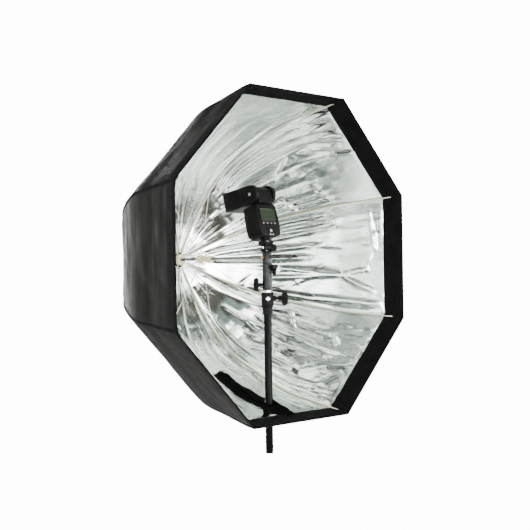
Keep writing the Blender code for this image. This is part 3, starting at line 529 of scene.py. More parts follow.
def crease(s, x, start, end, width, height):
    """A fold along a line on the flat cloth that fades out at both ends."""
    start, end = np.array(start), np.array(end)
    line = end - start
    length = np.linalg.norm(line)
    line /= length
    along = (s - start[0]) * line[0] + (x - start[1]) * line[1]
    across = -(s - start[0]) * line[1] + (x - start[1]) * line[0]
    share = np.clip(along / length, 0, 1)
    fade = np.clip(4 * share * (1 - share), 0, 1) ** 0.5
    return height * fade * np.exp(-np.abs(across / width) ** 1.4)


# Folds that stand out in the lining: from and to, as shares of the way from the hem to the hub
# and from the panel's middle to its edges, then the fold's width and height in these units
FOLD_WIDTHS_PER_METRE = 800
FOLD_HEIGHTS_PER_METRE = 620
LINING_FOLDS = {
    1: (
        ((0.08, 0.02), (0.20, 0.13), 3, 2.6), ((0.18, 0.13), (0.80, 0.22), 3, 3.0),
        ((0.10, 0.44), (0.25, 0.60), 5, 3.0), ((0.09, 0.32), (0.22, 0.48), 4, 2.4),
        ((0.12, 0.24), (0.32, 0.36), 4, 2.0), ((0.30, -0.90), (0.34, -0.40), 5, 2.0),
        ((0.46, -0.92), (0.50, -0.45), 6, 2.2), ((0.25, -0.30), (0.70, -0.18), 8, 2.0),
    ),
    2: (
        ((0.06, -0.35), (0.70, -0.30), 5, 1.4), ((0.10, 0.05), (0.75, 0.10), 4, 1.6),
        ((0.08, 0.42), (0.70, 0.35), 6, 1.8), ((0.20, 0.68), (0.80, 0.60), 5, 2.0),
        ((0.15, -0.70), (0.60, -0.62), 5, 1.3),
    ),
    3: (
        ((0.25, 0.10), (0.95, 0.15), 6, 4.0), ((0.25, -0.35), (0.95, -0.25), 7, 4.0),
        ((0.30, 0.55), (0.95, 0.50), 6, 3.5),
    ),
    4: (
        ((0.25, 0.25), (0.95, 0.20), 6, 4.0), ((0.25, -0.20), (0.95, -0.25), 7, 4.0),
        ((0.25, 0.65), (0.95, 0.60), 6, 4.0),
    ),
    6: (
        ((0.10, -0.60), (0.75, -0.52), 6, 1.6), ((0.12, 0.45), (0.75, 0.38), 6, 1.8),
        ((0.30, 0.75), (0.85, 0.70), 5, 1.8), ((0.45, -0.25), (0.85, -0.20), 5, 1.6),
    ),
    7: (
        ((0.08, 0.42), (0.55, 0.55), 4, 2.8), ((0.12, 0.05), (0.60, 0.28), 3, 3.2),
        ((0.10, -0.12), (0.30, -0.50), 9, 5.0), ((0.30, -0.50), (0.60, -0.62), 9, 4.0),
        ((0.14, 0.62), (0.30, 0.45), 5, 2.6), ((0.12, -0.30), (0.22, -0.85), 6, 4.0),
        ((0.25, -0.10), (0.60, -0.30), 5, 3.2), ((0.35, 0.10), (0.75, -0.05), 5, 3.0),
        ((0.40, 0.72), (0.90, 0.60), 4, 3.0), ((0.20, 0.20), (0.26, 0.50), 4, 2.4),
        ((0.20, -0.84), (0.90, -0.80), 7, 3.6),
    ),
    8: (
        ((0.12, 0.10), (0.15, 0.85), 5, 2.6), ((0.17, -0.30), (0.12, 0.45), 5, 2.2),
        ((0.28, -0.32), (0.12, -0.62), 5, 3.4), ((0.28, -0.32), (0.15, -0.20), 4, 3.0),
        ((0.28, -0.32), (0.60, -0.50), 6, 3.4), ((0.28, -0.32), (0.55, -0.22), 5, 3.0),
        ((0.30, 0.60), (0.90, 0.50), 5, 3.2), ((0.35, 0.28), (0.85, 0.20), 5, 3.0),
        ((0.40, 0.02), (0.90, 0.00), 6, 3.0), ((0.10, -0.80), (0.40, -0.78), 5, 2.4),
    ),
}
# Pleats beside the ribs, where the lining is too wide: the first and last place across the panel,
# their number, the places they start and end on the way to the hub, and their height in this unit
PLEAT_HEIGHTS_PER_METRE = 700
LINING_PLEATS = {
    1: ((0.42, 0.97, 3, 0.10, 0.72, 6.0), (-0.97, -0.52, 3, 0.26, 0.80, 4.5)),
    2: ((-0.97, -0.72, 1, 0.16, 0.76, 4.0),),
    3: ((-0.20, 0.90, 4, 0.30, 0.82, 4.5),),
    4: ((-0.80, 0.80, 6, 0.40, 0.86, 4.0),),
    5: ((-0.80, 0.50, 4, 0.35, 0.84, 4.0),),
    7: ((-0.97, -0.62, 2, 0.10, 0.78, 5.5),),
    8: ((0.62, 0.96, 2, 0.30, 0.80, 4.5), (-0.95, -0.72, 1, 0.08, 0.70, 3.5)),
}
# How much the lining of each panel is crumpled, where it isn't smoothed by the panel's tension
LINING_CRUMPLE = {1: 0.9, 2: 0.35, 3: 0.8, 4: 0.8, 5: 0.8, 6: 0.35, 7: 1.4, 8: 0.9}
SMALL_CREASES = 11


def placed_folds(panel, s, x, across, away, place):
    """Height of the folds and pleats that the tables give for a panel of the lining."""
    height = np.zeros_like(s)
    for start, end, width, lift in LINING_FOLDS.get(panel, ()):
        width, lift = width / FOLD_WIDTHS_PER_METRE, lift / FOLD_HEIGHTS_PER_METRE
        height += crease(s, x, place(start), place(end), width, lift)
    for first, last, count, start, end, lift in LINING_PLEATS.get(panel, ()):
        u = (across - first) / (last - first)
        inside = np.clip(np.minimum(u, 1 - u) * 5, 0, 1)
        sway = 0.06 * smooth_noise(away * 5, away * 0 + first * 9, 130 + panel)
        wave = 2 * np.abs((u * count + sway) % 1 - 0.5)
        length = np.clip((away - start) / 0.10, 0, 1) * np.clip((end - away) / 0.12, 0, 1)
        height += lift / PLEAT_HEIGHTS_PER_METRE * inside * length * (1 - wave)
    return height


def lining_height(panel, s, x, half, total):
    """Height of the lining over its flat panel: placed folds, drawn creases, then crumples.

    s and x are places along and across the cloth, half is the panel's half width in each row and
    total the length of the cloth.
    """
    rng = np.random.default_rng(40 + panel)
    rough = LINING_CRUMPLE[panel]
    away, across = s / total, x / half[:, None]

    def place(at):
        return at[0] * total, at[1] * np.interp(at[0], away[:, 0], half)

    height = placed_folds(panel, s, x, across, away, place)
    for _ in range(SMALL_CREASES):
        centre = (rng.uniform(0.1, 0.74), rng.uniform(-0.9, 0.9))
        turn = rng.normal(0, 0.5)
        reach = rng.uniform(0.015, 0.07)
        step = np.array((math.cos(turn), math.sin(turn))) * reach
        middle = np.array(place(centre))
        width, lift = rng.uniform(0.0022, 0.0060), rng.uniform(-0.0010, 0.0030)
        height += crease(s, x, middle - step, middle + step, width, lift * rough)
    # The band before the hub is pulled nearly flat
    flat = 1 - 0.8 * np.clip((away - 0.62) / 0.12, 0, 1) * np.clip((0.93 - away) / 0.06, 0, 1)
    streaks = smooth_noise(across * 8 + 3 * panel, s * 5, 60 + panel)
    fine = ridged(across * 22 + panel, s * 9, 70 + panel)
    height += (0.0010 * streaks + 0.0003 * fine) * flat
    crumple = ridged(x * 26 + s * 12, s * 20 - x * 9, 80 + panel)
    crumple = crumple + 0.2 * ridged(x * 70, s * 50, 90 + panel)
    height += 0.00045 * rough * crumple * flat
    dents = 0.5 + 0.5 * ridged(x * 15 - s * 5 + panel, s * 13 + x * 6, 120 + panel)
    height += (0.0004 + 0.0016 * max(rough - 0.4, 0)) * dents * flat
    # Rays round the hub, and a gathered ring over the strut lugs
    star = np.clip((away - 0.88) / 0.1, 0, 1)
    rays = ridged(across * 5 + 11, s * 12, 100 + panel) * np.clip(half[:, None] / 0.05, 0.2, 1)
    height += star * 0.0030 * rays
    ring = np.exp(-(((s - STRUT_STATION) / 0.005) ** 2))
    height += 0.0010 * ring * (0.4 + smooth_noise(x * 40, s * 3, 110 + panel))
    edge = np.clip((half[:, None] - np.abs(x)) / 0.009, 0, 1)
    hem_fade = np.clip((s - HEM_DEPTH + 0.004) / 0.012, 0, 1)
    return np.clip(height, -0.0010, 0.012) * edge * hem_fade


def cover_height(panel, s, x, half, total):
    """Height of the cover's soft folds over its flat panel (negative is outwards)."""
    edge = np.clip((half[:, None] - np.abs(x)) / 0.020, 0, 1)
    long_folds = smooth_noise(x / half[:, None] * 1.2 + 5 * panel, s * 13.0, 160 + panel)
    pleats = smooth_noise(x / half[:, None] * 3 + 2 * panel, s * 34.0 + x * 9, 170 + panel)
    front = np.clip(s / 0.03, 0, 1)
    height = 0.0036 * long_folds + 0.0010 * pleats
    return -np.abs(height) * edge * front


def grid_mesh(name, points, cloth):
    """A mesh from a grid of points, with the flat cloth's places as an attribute."""
    rows, columns = points.shape[:2]
    index = np.arange(rows * columns).reshape(rows, columns)
    quads = np.stack([index[:-1, :-1], index[:-1, 1:], index[1:, 1:], index[1:, :-1]], axis=-1)
    mesh = bpy.data.meshes.new(name)
    mesh.from_pydata(points.reshape(-1, 3).tolist(), [], quads.reshape(-1, 4).tolist())
    attribute = mesh.attributes.new("cloth", "FLOAT_VECTOR", "POINT")
    attribute.data.foreach_set("vector", cloth.reshape(-1, 3).astype(np.float32).ravel())
    mesh.shade_smooth()
    return mesh


def add_piece(name, mesh, material, body):
    piece = bpy.data.objects.new(name, mesh)
    bpy.context.scene.collection.objects.link(piece)
    mesh.materials.clear()
    mesh.materials.append(MATERIALS[material])
    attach(piece, body)
    return piece


def grid_normals(points):
    """Unit normals of a grid of points, pointing into the softbox."""
    normal = np.cross(np.gradient(points, axis=0), np.gradient(points, axis=1))
    normal /= np.linalg.norm(normal, axis=2)[..., None] + 1e-12
    flip = np.where(np.sum((INSIDE - points) * normal, axis=2) < 0, -1.0, 1.0)
    return normal * flip[..., None]


def slit_half(panel, depth):
    """Half the width of the slit at each depth, on the one panel that has it."""
    if panel != SLIT_PANEL:
        return np.zeros_like(depth)
    front = np.clip((depth - SLIT_FRONT_DEPTH) / 0.020, 0, 1)
    back = np.clip((SLIT_BACK_DEPTH - depth) / 0.080, 0, 1)
    return SLIT_OPEN_HALF * np.minimum(front, back)


def panel_grid(panel, profile, columns, heights, total):
    """Points, normals and flat places of a whole panel, with columns on each side of its middle."""
    stations, _, reach = profile
    half = reach * math.tan(RIB_STEP / 2) * math.cos(RIB_STEP / 2)
    shares = np.linspace(0, 1, 2 * columns + 1)[None, :] * np.ones((len(stations), 1))
    x = (shares * 2 - 1) * half[:, None]
    s = stations[:, None] * np.ones_like(x)
    height = heights(panel, s, x, half, total)
    points = panel_surface(panel, profile, shares, height)
    cloth = np.stack([x + 0.5 * panel, s, np.full_like(x, panel)], axis=-1)
    return points, grid_normals(points), cloth


def squeeze_to_slit(panel, points, profile, side):
    """Draws the columns on one side of the panel's middle back from the slit."""
    _, depth, _ = profile
    slit = slit_half(panel, depth)
    if not slit.any():
        return points
    across = rib_direction(panel + 1) - rib_direction(panel)
    across /= np.linalg.norm(across)
    edge = points[:, 0] if side < 0 else points[:, -1]
    span = (points - edge[:, None]) @ across
    middle = span[:, -1] if side < 0 else span[:, 0]
    share = 1 - slit / np.abs(middle)
    return points - (span * (1 - share)[:, None])[..., None] * across


def cloth_layer(kind, offset, rows, columns, front_depth, heights, material):
    """The gores of one layer of cloth: each is centred on a rib and split in bands of depth."""
    profile = cloth_profile(offset, rows, front_depth)
    stations, depth, reach = profile
    total = stations[-1]
    panels = {k: panel_grid(k, profile, columns, heights, total) for k in range(1, RIB_COUNT + 1)}
    cuts = np.searchsorted(depth, BAND_DEPTHS[1:-1])
    limits = [0, *cuts, rows - 1]
    for gore in range(1, RIB_COUNT + 1):
        before = RIB_COUNT if gore == 1 else gore - 1
        halves = []
        for panel, cut, side in ((before, slice(columns, None), 1), (gore, slice(0, columns + 1), -1)):
            points, normals, cloth = (grid[:, cut] for grid in panels[panel])
            halves.append((squeeze_to_slit(panel, points, profile, side), normals, cloth))
        (points, normals, cloth), (more_points, more_normals, more_cloth) = halves
        seam_normals = normals[:, -1] + more_normals[:, 0]
        seam_normals /= np.linalg.norm(seam_normals, axis=1)[:, None]
        points = np.concatenate([points, more_points[:, 1:]], axis=1)
        normals = np.concatenate([normals[:, :-1], seam_normals[:, None], more_normals[:, 1:]], axis=1)
        cloth = np.concatenate([cloth, more_cloth[:, 1:]], axis=1)
        for band, (low, high) in enumerate(zip(limits, limits[1:])):
            cut = slice(low, high + 1)
            name = f"{kind}_gore_{gore}_{band + 1}"
            mesh = grid_mesh(name, points[cut], cloth[cut])
            orient(mesh, normals[cut] * (-1 if kind == "cover" else 1))
            piece = add_piece(name, mesh, material, f"rib_{gore}")
            if kind == "cover":
                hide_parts(f"cover_panel_{gore}")
            finish_cloth(piece, gore, depth[cut].mean(), reach[cut].mean(), mesh)


def orient(mesh, normals):
    """Turns the faces to agree with the given normals and keeps those normals for shading."""
    flat = normals.reshape(-1, 3)
    if mesh.polygons[0].normal.dot(Vector(flat[mesh.polygons[0].vertices[0]])) < 0:
        mesh.flip_normals()
    mesh.normals_split_custom_set_from_vertices(flat.tolist())


def finish_cloth(piece, gore, depth, reach, mesh):
    """Gives a cloth piece a mesh of its own."""
    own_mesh(piece)


def profile_points(stations):
    """(depth, reach) of places given as (depth, offset) outwards from the ribs' centre line."""
    curve, along = cloth_curve((-0.004, FRONT_REACH + 0.0009), (0.0, FRONT_REACH))
    found = []
    for depth, offset in stations:
        reach = np.interp(depth, curve[:, 0], curve[:, 1])
        slope = [np.interp(depth, curve[:, 0], along[:, axis]) for axis in (0, 1)]
        found.append((depth - slope[1] * offset, reach + slope[0] * offset))
    return np.array(found)


def corner_strip(rib, outline, limit, columns, height=None):
    """Points of a strip folded over the corner at a rib, spreading to both panels up to a limit.

    height gives the rise inwards, from the place across the strip between -1 and 1.
    """
    across = np.linspace(-1, 1, columns) * np.ones((len(outline), 1))
    u = across * limit
    e = rib_direction(rib)
    t = np.array((-e[2], 0.0, e[0]))
    reach = outline[:, 1][:, None] - np.abs(u) * math.sin(RIB_STEP / 2)
    if height is not None:
        reach = reach - height(across)
    points = e * reach[..., None] + t * (u * math.cos(RIB_STEP / 2))[..., None]
    points[..., 1] = OPENING_Y + outline[:, 0][:, None]
    points[..., 2] += SHAFT_Z
    return points, u


def add_strip(name, rib, strip, along, facing, material, middle):
    """Adds a strip from corner_strip; facing is a face of it and 1 for outwards, -1 for inwards."""
    points, u = strip
    cloth = np.stack([u, along[:, None] * np.ones_like(u), np.full_like(u, rib)], axis=-1)
    mesh = grid_mesh(f"{name}_{rib}", points, cloth)
    face_towards(mesh, facing[0], Vector(rib_direction(rib)) * facing[1])
    piece = add_piece(f"{name}_{rib}", mesh, material, f"rib_{rib}")
    finish_cloth(piece, rib, *middle, mesh)


def pocket_height(across):
    """The bulge of a pocket over its rib's tip, lower at both ends and at the edges."""
    ends = np.clip(np.sin(np.linspace(0.12, 0.93, len(across)) * math.pi), 0, 1)[:, None] ** 0.5
    return 0.0042 * ends * np.clip(1 - across**2, 0, 1) ** 0.7


def seam_height(across):
    return -0.0011 * (1 - across**4)


def make_hem():
    """The loop tape inside the opening, folded round the front edge, and the ribs' tip pockets."""
    outline = profile_points(
        (
            (HEM_DEPTH, 0.0026), (HEM_DEPTH - 0.0003, 0.0018), (0.0500, 0.0017), (0.0400, 0.0017),
            (0.0280, 0.0017), (0.0160, 0.0017), (0.0060, 0.0017), (0.0014, 0.0019), (0.0000, 0.0030),
            (0.0000, 0.0044), (0.0012, 0.0056), (0.0060, 0.0060), (0.0125, 0.0060), (0.0130, 0.0046),
        )
    )
    half = (outline[:, 1] * math.sin(RIB_STEP / 2))[:, None]
    pocket = profile_points([(0.0020 + 0.0330 * k / 10, 0.0014) for k in range(11)])
    middle = (0.02, outline[:, 1].mean())
    # A face of each that looks into the opening
    tape_face, pocket_face = 3 * 60 + 10, 5 * 16 + 8
    for rib in range(1, RIB_COUNT + 1):
        strip = corner_strip(rib, outline, half, 61)
        add_strip("hem_tape", rib, strip, lengths(outline), (tape_face, -1), "hem", middle)
        strip = corner_strip(rib, pocket, 0.0165, 17, pocket_height)
        facing = (pocket_face, -1)
        add_strip("rib_pocket", rib, strip, pocket[:, 0], facing, "pocket", middle)


def face_towards(mesh, polygon, direction):
    """Turns all faces of a sheet so that one of them faces a direction."""
    if mesh.polygons[polygon].normal.dot(direction) < 0:
        mesh.flip_normals()


def make_slit_flaps():
    """Two standing lips of hook-and-loop tape along the slit, in the cloth's own bands."""
    rows, lip_height = 90, 0.0134
    stations, depth, reach = cloth_profile(LINING_OFFSET - 0.0006, 400)
    start = np.interp(SLIT_FRONT_DEPTH - 0.006, depth, stations)
    end = np.interp(SLIT_BACK_DEPTH + 0.010, depth, stations)
    s = np.linspace(start, end, rows)
    depth, reach = np.interp(s, stations, depth), np.interp(s, stations, reach)
    first, second = rib_direction(SLIT_PANEL), rib_direction(SLIT_PANEL + 1)
    middle, across = first + second, second - first
    middle /= np.linalg.norm(middle)
    across /= np.linalg.norm(across)
    flat = reach * math.cos(RIB_STEP / 2)
    # A lip's section: places away from the slit's middle, and heights above the lining
    section = (
        (0.0262, 0.0002), (0.0258, 0.0014), (0.0190, 0.0022), (0.0135, 0.0040), (0.0118, 0.0080),
        (0.0112, 0.0128), (0.0104, lip_height), (0.0098, 0.0124), (0.0103, 0.0070), (0.0112, 0.0022),
        (0.0125, 0.0004),
    )
    limits = [d for d in BAND_DEPTHS if depth[0] < d < depth[-1]]
    cuts = [0, *np.searchsorted(depth, limits), rows - 1]
    gap = slit_half(SLIT_PANEL, depth) / SLIT_OPEN_HALF
    for side, gore in ((-1, SLIT_PANEL), (1, SLIT_PANEL + 1)):
        wave = smooth_noise(s * 34, s * 0 + 3, 300 + side)
        lean = smooth_noise(s * 22, s * 0 + 7, 310 + side)
        points = []
        for k, (x, h) in enumerate(section):
            lift = h / lip_height
            shut = (1 - gap) * 0.0086 * lift
            place = x - shut + np.abs(lean) * 0.0040 * lift * (x > 0.0110 or h > 0.01)
            height = h * (1 + 0.22 * wave * lift) + 0.0006 * wave * (k > 1)
            point = middle * (flat - height)[:, None] + across * (side * place)[:, None]
            point[:, 1] = OPENING_Y + depth
            point[:, 2] += SHAFT_Z
            points.append(point)
        points = np.stack(points, axis=1)
        cloth = np.stack(np.broadcast_arrays(lengths(section), s[:, None], 0.0), axis=-1)
        for band, (low, high) in enumerate(zip(cuts, cuts[1:])):
            name, cut = f"slit_flap_{gore}_{band + 1}", slice(low, high + 1)
            mesh = grid_mesh(name, points[cut], cloth[cut])
            face_towards(mesh, 2, Vector(-middle))
            piece = add_piece(name, mesh, "flap", f"rib_{gore}")
            finish_cloth(piece, gore, depth[cut].mean(), reach[cut].mean(), mesh)


def make_cover_seams():
    """The bound seams between the cover's panels, a narrow raised tape outside each rib."""
    stations, depth, reach = cloth_profile(COVER_OFFSET + 0.0008, 90, 0.004, 0.024)
    outline = np.stack([depth, reach], axis=1)
    middle = (depth.mean(), reach.mean())
    for rib in range(1, RIB_COUNT + 1):
        strip = corner_strip(rib, outline, 0.0058, 7, seam_height)
        add_strip("cover_seam", rib, strip, stations, (3, 1), "hem", middle)


def make_cloth():
    make_hem()
    make_cover_seams()
    make_slit_flaps()
    front = LINING_FRONT_DEPTH
    cloth_layer("lining", LINING_OFFSET, 150, 34, front, lining_height, "lining")
    cloth_layer("cover", COVER_OFFSET, 70, 16, 0.0, cover_height, "cover")


# Solid pieces


def smoothed(mesh, sharp=35):
    """Shades a mesh smooth but for edges sharper than an angle in degrees."""
    mesh.shade_smooth()
    mesh.set_sharp_from_angle(angle=math.radians(sharp))
    return mesh


def finished(bm, sharp=35):
    """Turns a bmesh into a mesh with outward faces and smooth round parts."""
    bmesh.ops.recalc_face_normals(bm, faces=bm.faces)
    mesh = bpy.data.meshes.new("solid")
    bm.to_mesh(mesh)
    bm.free()
    return smoothed(mesh, sharp)


def rounded(outline, radius, closed=True, steps=3):
    """A 2D outline with its corners rounded, as far as its edges allow."""
    points = [Vector(p) for p in outline]
    count = len(points)
    result = []
    for k, point in enumerate(points):
        if not closed and k in (0, count - 1):
            result.append(point)
            continue
        before, after = points[k - 1], points[(k + 1) % count]
        room = min((before - point).length, (after - point).length) * 0.45
        reach = min(radius, room)
        start = point + (before - point).normalized() * reach
        end = point + (after - point).normalized() * reach
        for step in range(steps + 1):
            t = step / steps
            result.append(start.lerp(point, t).lerp(point.lerp(end, t), t))
    return result


def turned(outline, segments=64, closed=False, fillet=0.0003, flutes=None, sharp=35):
    """A solid of revolution about Z from (radius, z) pairs; flutes is (count, depth, low, high)."""
    profile = rounded(outline, fillet, closed) if fillet else [Vector(p) for p in outline]
    bm = bmesh.new()
    rings = []
    for radius, z in profile:
        if radius < 1e-6:
            rings.append([bm.verts.new((0, 0, z))])
            continue
        ring = []
        for k in range(segments):
            angle = 2 * math.pi * k / segments
            reach = radius
            if flutes and flutes[2] <= z <= flutes[3]:
                reach -= flutes[1] * (0.5 - 0.5 * math.cos(flutes[0] * angle)) ** 1.5
            ring.append(bm.verts.new((reach * math.cos(angle), reach * math.sin(angle), z)))
        rings.append(ring)
    pairs = list(zip(rings, rings[1:]))
    if closed:
        pairs.append((rings[-1], rings[0]))
    for lower, upper in pairs:
        if len(lower) == 1 and len(upper) == 1:
            continue
        for k in range(segments):
            after = k + 1
            corners = [(lower, k), (lower, after), (upper, after), (upper, k)]
            bm.faces.new(list(dict.fromkeys(ring[at % len(ring)] for ring, at in corners)))
    return finished(bm, sharp)


def capped(*outline):
    """An outline closed to the axis at both ends."""
    return ((0, outline[0][1]), *outline, (0, outline[-1][1]))


def chamfered(radius, low, high, chamfer):
    """The outside of a plain cylinder with its two rims cut."""
    rim = radius - chamfer
    return ((rim, low), (radius, low + chamfer), (radius, high - chamfer), (rim, high))


def tube(outer, inner, low, high, chamfer=0.0006):
    return ((inner, low), *chamfered(outer, low, high, chamfer), (inner, high))


def rod(radius, low, high, chamfer=0.0005):
    return capped(*chamfered(radius, low, high, chamfer))


def peg(place, radius, low, high, chamfer=0.0005):
    """A plain cylinder along the local Z of a frame, to be added or drilled out."""
    return moved(turned(rod(radius, low, high, chamfer)), place)


def bevel_edges(bm, edges, width, segments):
    bmesh.ops.bevel(bm, geom=edges, offset=width, segments=segments, profile=0.5, affect="EDGES")


def prism(outline, low, high, axis="Z", bevel=0.0, segments=3):
    """A closed outline extruded along an axis, with its two rims bevelled."""
    places = {
        "X": lambda a, b, c: (c, a, b),
        "Y": lambda a, b, c: (a, c, b),
        "Z": lambda a, b, c: (a, b, c),
    }[axis]
    bm = bmesh.new()
    ends = [[bm.verts.new(places(a, b, level)) for a, b in outline] for level in (low, high)]
    bm.faces.new(ends[0])
    bm.faces.new(list(reversed(ends[1])))
    count = len(outline)
    for k in range(count):
        after = (k + 1) % count
        bm.faces.new((ends[0][k], ends[1][k], ends[1][after], ends[0][after]))
    if bevel:
        bmesh.ops.recalc_face_normals(bm, faces=bm.faces)
        rims = {edge for face in bm.faces if len(face.verts) == count for edge in face.edges}
        bevel_edges(bm, list(rims), bevel, segments)
    return finished(bm)


def block(low, high, bevel=0.0006, segments=3):
    """A box between two corners with rounded edges."""
    bm = bmesh.new()
    low, high = Vector(low), Vector(high)
    placed = Matrix.Translation((low + high) / 2) @ Matrix.Diagonal((*(high - low), 1))
    bmesh.ops.create_cube(bm, size=1, matrix=placed)
    if bevel:
        bevel_edges(bm, bm.edges[:], bevel, segments)
    return finished(bm)


def arc(centre, radius, start, end, steps):
    """Points on an arc, with start and end in degrees."""
    angles = np.radians(np.linspace(start, end, steps + 1))
    return [(centre[0] + radius * math.cos(a), centre[1] + radius * math.sin(a)) for a in angles]


def moved(mesh, matrix):
    mesh.transform(matrix)
    return mesh


def combined(meshes, operation="UNION"):
    """One mesh from several overlapping solids: their union, or the first less the others."""
    guides = []
    for mesh in meshes:
        guide = bpy.data.objects.new("guide", mesh)
        bpy.context.scene.collection.objects.link(guide)
        guides.append(guide)
    for guide in guides[1:]:
        modifier = guides[0].modifiers.new("combine", "BOOLEAN")
        modifier.operation = operation
        modifier.solver = "EXACT"
        modifier.object = guide
    evaluated = guides[0].evaluated_get(bpy.context.evaluated_depsgraph_get())
    mesh = bpy.data.meshes.new_from_object(evaluated)
    for guide in guides:
        bpy.data.objects.remove(guide)
    mesh.materials.clear()
    return smoothed(mesh)


def side_frame(angle, height):
    """A frame on the stand's axis at a height, whose local Z points sideways at an angle."""
    turn = Matrix.Rotation(math.radians(angle), 4, "Z") @ Matrix.Rotation(math.pi / 2, 4, "Y")
    return Matrix.Translation((0, 0, height)) @ turn


def along_shaft(y):
    """A frame on the shaft whose local Z points backwards."""
    return Matrix.Translation((0, y, SHAFT_Z)) @ Matrix.Rotation(-math.pi / 2, 4, "X")


def solid_piece(name, mesh, material, body, replaces=(), matrix=None):
    """Adds a hard piece, its mesh placed by matrix, and hides the CAD nodes that it replaces."""
    if matrix:
        mesh.transform(matrix)
    mesh.name = name
    piece = add_piece(name, mesh, material, body)
    if replaces:
        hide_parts(*replaces)
    return piece


# Stand and bracket


def make_stand():
    low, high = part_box("stand_tube")
    radius = (high.x - low.x) / 2
    body = turned(tube(radius, radius - 0.0012, low.z, high.z), 72, True)
    solid_piece("stand_tube_painted", body, "paint", "stand", ("stand_tube",))
    bottom, top = (corner.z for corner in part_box("stand_collar"))
    shoulder = 0.3563
    outline = [
        (radius + 0.0003, bottom), (0.0128, bottom), (0.0137, bottom + 0.0008),
        (0.0137, bottom + 0.0036), (0.0126, bottom + 0.0044), (0.0126, bottom + 0.0070),
        (0.0132, bottom + 0.0076), (0.0132, bottom + 0.0092), (0.0126, bottom + 0.0098),
        (0.0128, bottom + 0.0160), (0.0155, bottom + 0.0250), (0.0158, bottom + 0.0300),
        (0.0158, top - 0.0078), (0.0150, top - 0.0072), (0.0150, top - 0.0060), (0.0158, top - 0.0054),
        (0.0158, top - 0.0012), (0.0147, top), (0.0084, top), (0.0084, shoulder),
        (radius + 0.0003, shoulder),
    ]
    knob_side = side_frame(-45, COLLAR_KNOB_Z)
    boss = moved(turned(capped((0.0068, 0.0120), (0.0068, 0.0180), (0.0048, 0.0228))), knob_side)
    hole = peg(knob_side, 0.0031, 0.0070, 0.0240)
    window = peg(side_frame(-128, COLLAR_KNOB_Z - 0.0010), 0.0074, 0.0108, 0.0200)
    collar = combined([combined([turned(outline, 72, True), boss]), hole, window], "DIFFERENCE")
    solid_piece("collar_cast", collar, "satin", "stand", ("stand_collar",))
    head = capped(
        (0.0150, 0.0360), (0.0176, 0.0378), (0.0180, 0.0440), (0.0172, 0.0500), (0.0150, 0.0512),
        (0.0095, 0.0512), (0.0080, 0.0496),
    )
    neck = capped((0.0052, 0.0268), (0.0062, 0.0290), (0.0062, 0.0370))
    parts = [
        turned(head, 96, False, 0.0010, (8, 0.0022, 0.0362, 0.0511)),
        turned(neck),
        threaded(0.0029, 0.0098, 0.0300),
    ]
    lock_knob("collar_knob", parts, ("collar_knob",), knob_side)


def lock_knob(name, parts, replaces, place):
    """A moulded knob on its own body, joined from its head, neck and screw."""
    mesh = combined(parts)
    solid_piece(f"{name}_moulded", mesh, "knob", name, replaces, place)


def threaded(radius, low, high, pitch=0.0009):
    """A screw shank with rings for its thread."""
    outline = [(0, low)]
    z = low
    while z < high - pitch:
        outline += [(radius - 0.0003, z), (radius, z + pitch / 2)]
        z += pitch
    return turned(outline + [(radius - 0.0003, high), (0, high)], 32, False, 0)


def make_bracket():
    bottom, top = (corner.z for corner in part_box("adaptor_tube"))
    outline = [
        (0.0082, bottom), (BRACKET_RADIUS - 0.0009, bottom), (BRACKET_RADIUS, bottom + 0.0009),
        (BRACKET_RADIUS, bottom + 0.0040), (BRACKET_RADIUS - 0.0004, bottom + 0.0044),
        (BRACKET_RADIUS - 0.0004, bottom + 0.0050), (BRACKET_RADIUS, bottom + 0.0054),
        (BRACKET_RADIUS, top - 0.0006), (BRACKET_RADIUS - 0.0006, top), (0.0082, top),
    ]
    stud_side = side_frame(135, STUD_KNOB_Z)
    wing_side = side_frame(-70, WING_KNOB_Z)
    holes = [peg(side, 0.0027, 0.0060, 0.0160) for side in (stud_side, wing_side)]
    adaptor = combined([turned(outline, 72, True), *holes], "DIFFERENCE")
    solid_piece("adaptor_turned", adaptor, "gunmetal", "adaptor", ("adaptor_tube",))
    stud_head = capped(
        (0.0140, 0.0216), (0.0163, 0.0232), (0.0166, 0.0280), (0.0158, 0.0336), (0.0136, 0.0350),
        (0.0070, 0.0350), (0.0060, 0.0338),
    )
    stud_parts = [
        turned(stud_head, 96, False, 0.0010, (10, 0.0018, 0.0218, 0.0349)),
        turned(capped((0.0042, 0.0128), (0.0042, 0.0230))),
        threaded(0.0024, 0.0084, 0.0140),
    ]
    lock_knob("stud_knob", stud_parts, ("stud_lock_knob",), stud_side)
    lobes = []
    for k in range(72):
        angle = 2 * math.pi * k / 72
        reach = 0.0112 + 0.0056 * math.cos(3 * angle)
        lobes.append((reach * math.cos(angle), reach * math.sin(angle)))
    wing_parts = [
        prism(lobes, 0.0152, 0.0240, "Z", 0.0022),
        turned(capped((0.0060, 0.0127), (0.0068, 0.0150), (0.0068, 0.0190))),
        turned(((0, 0.0230), (0.0050, 0.0230), (0.0046, 0.0252), (0, 0.0256))),
        threaded(0.0024, 0.0084, 0.0140),
    ]
    lock_knob("wing_knob", wing_parts, ("wing_lock_knob",), wing_side)
    make_holder(top + 0.0003)


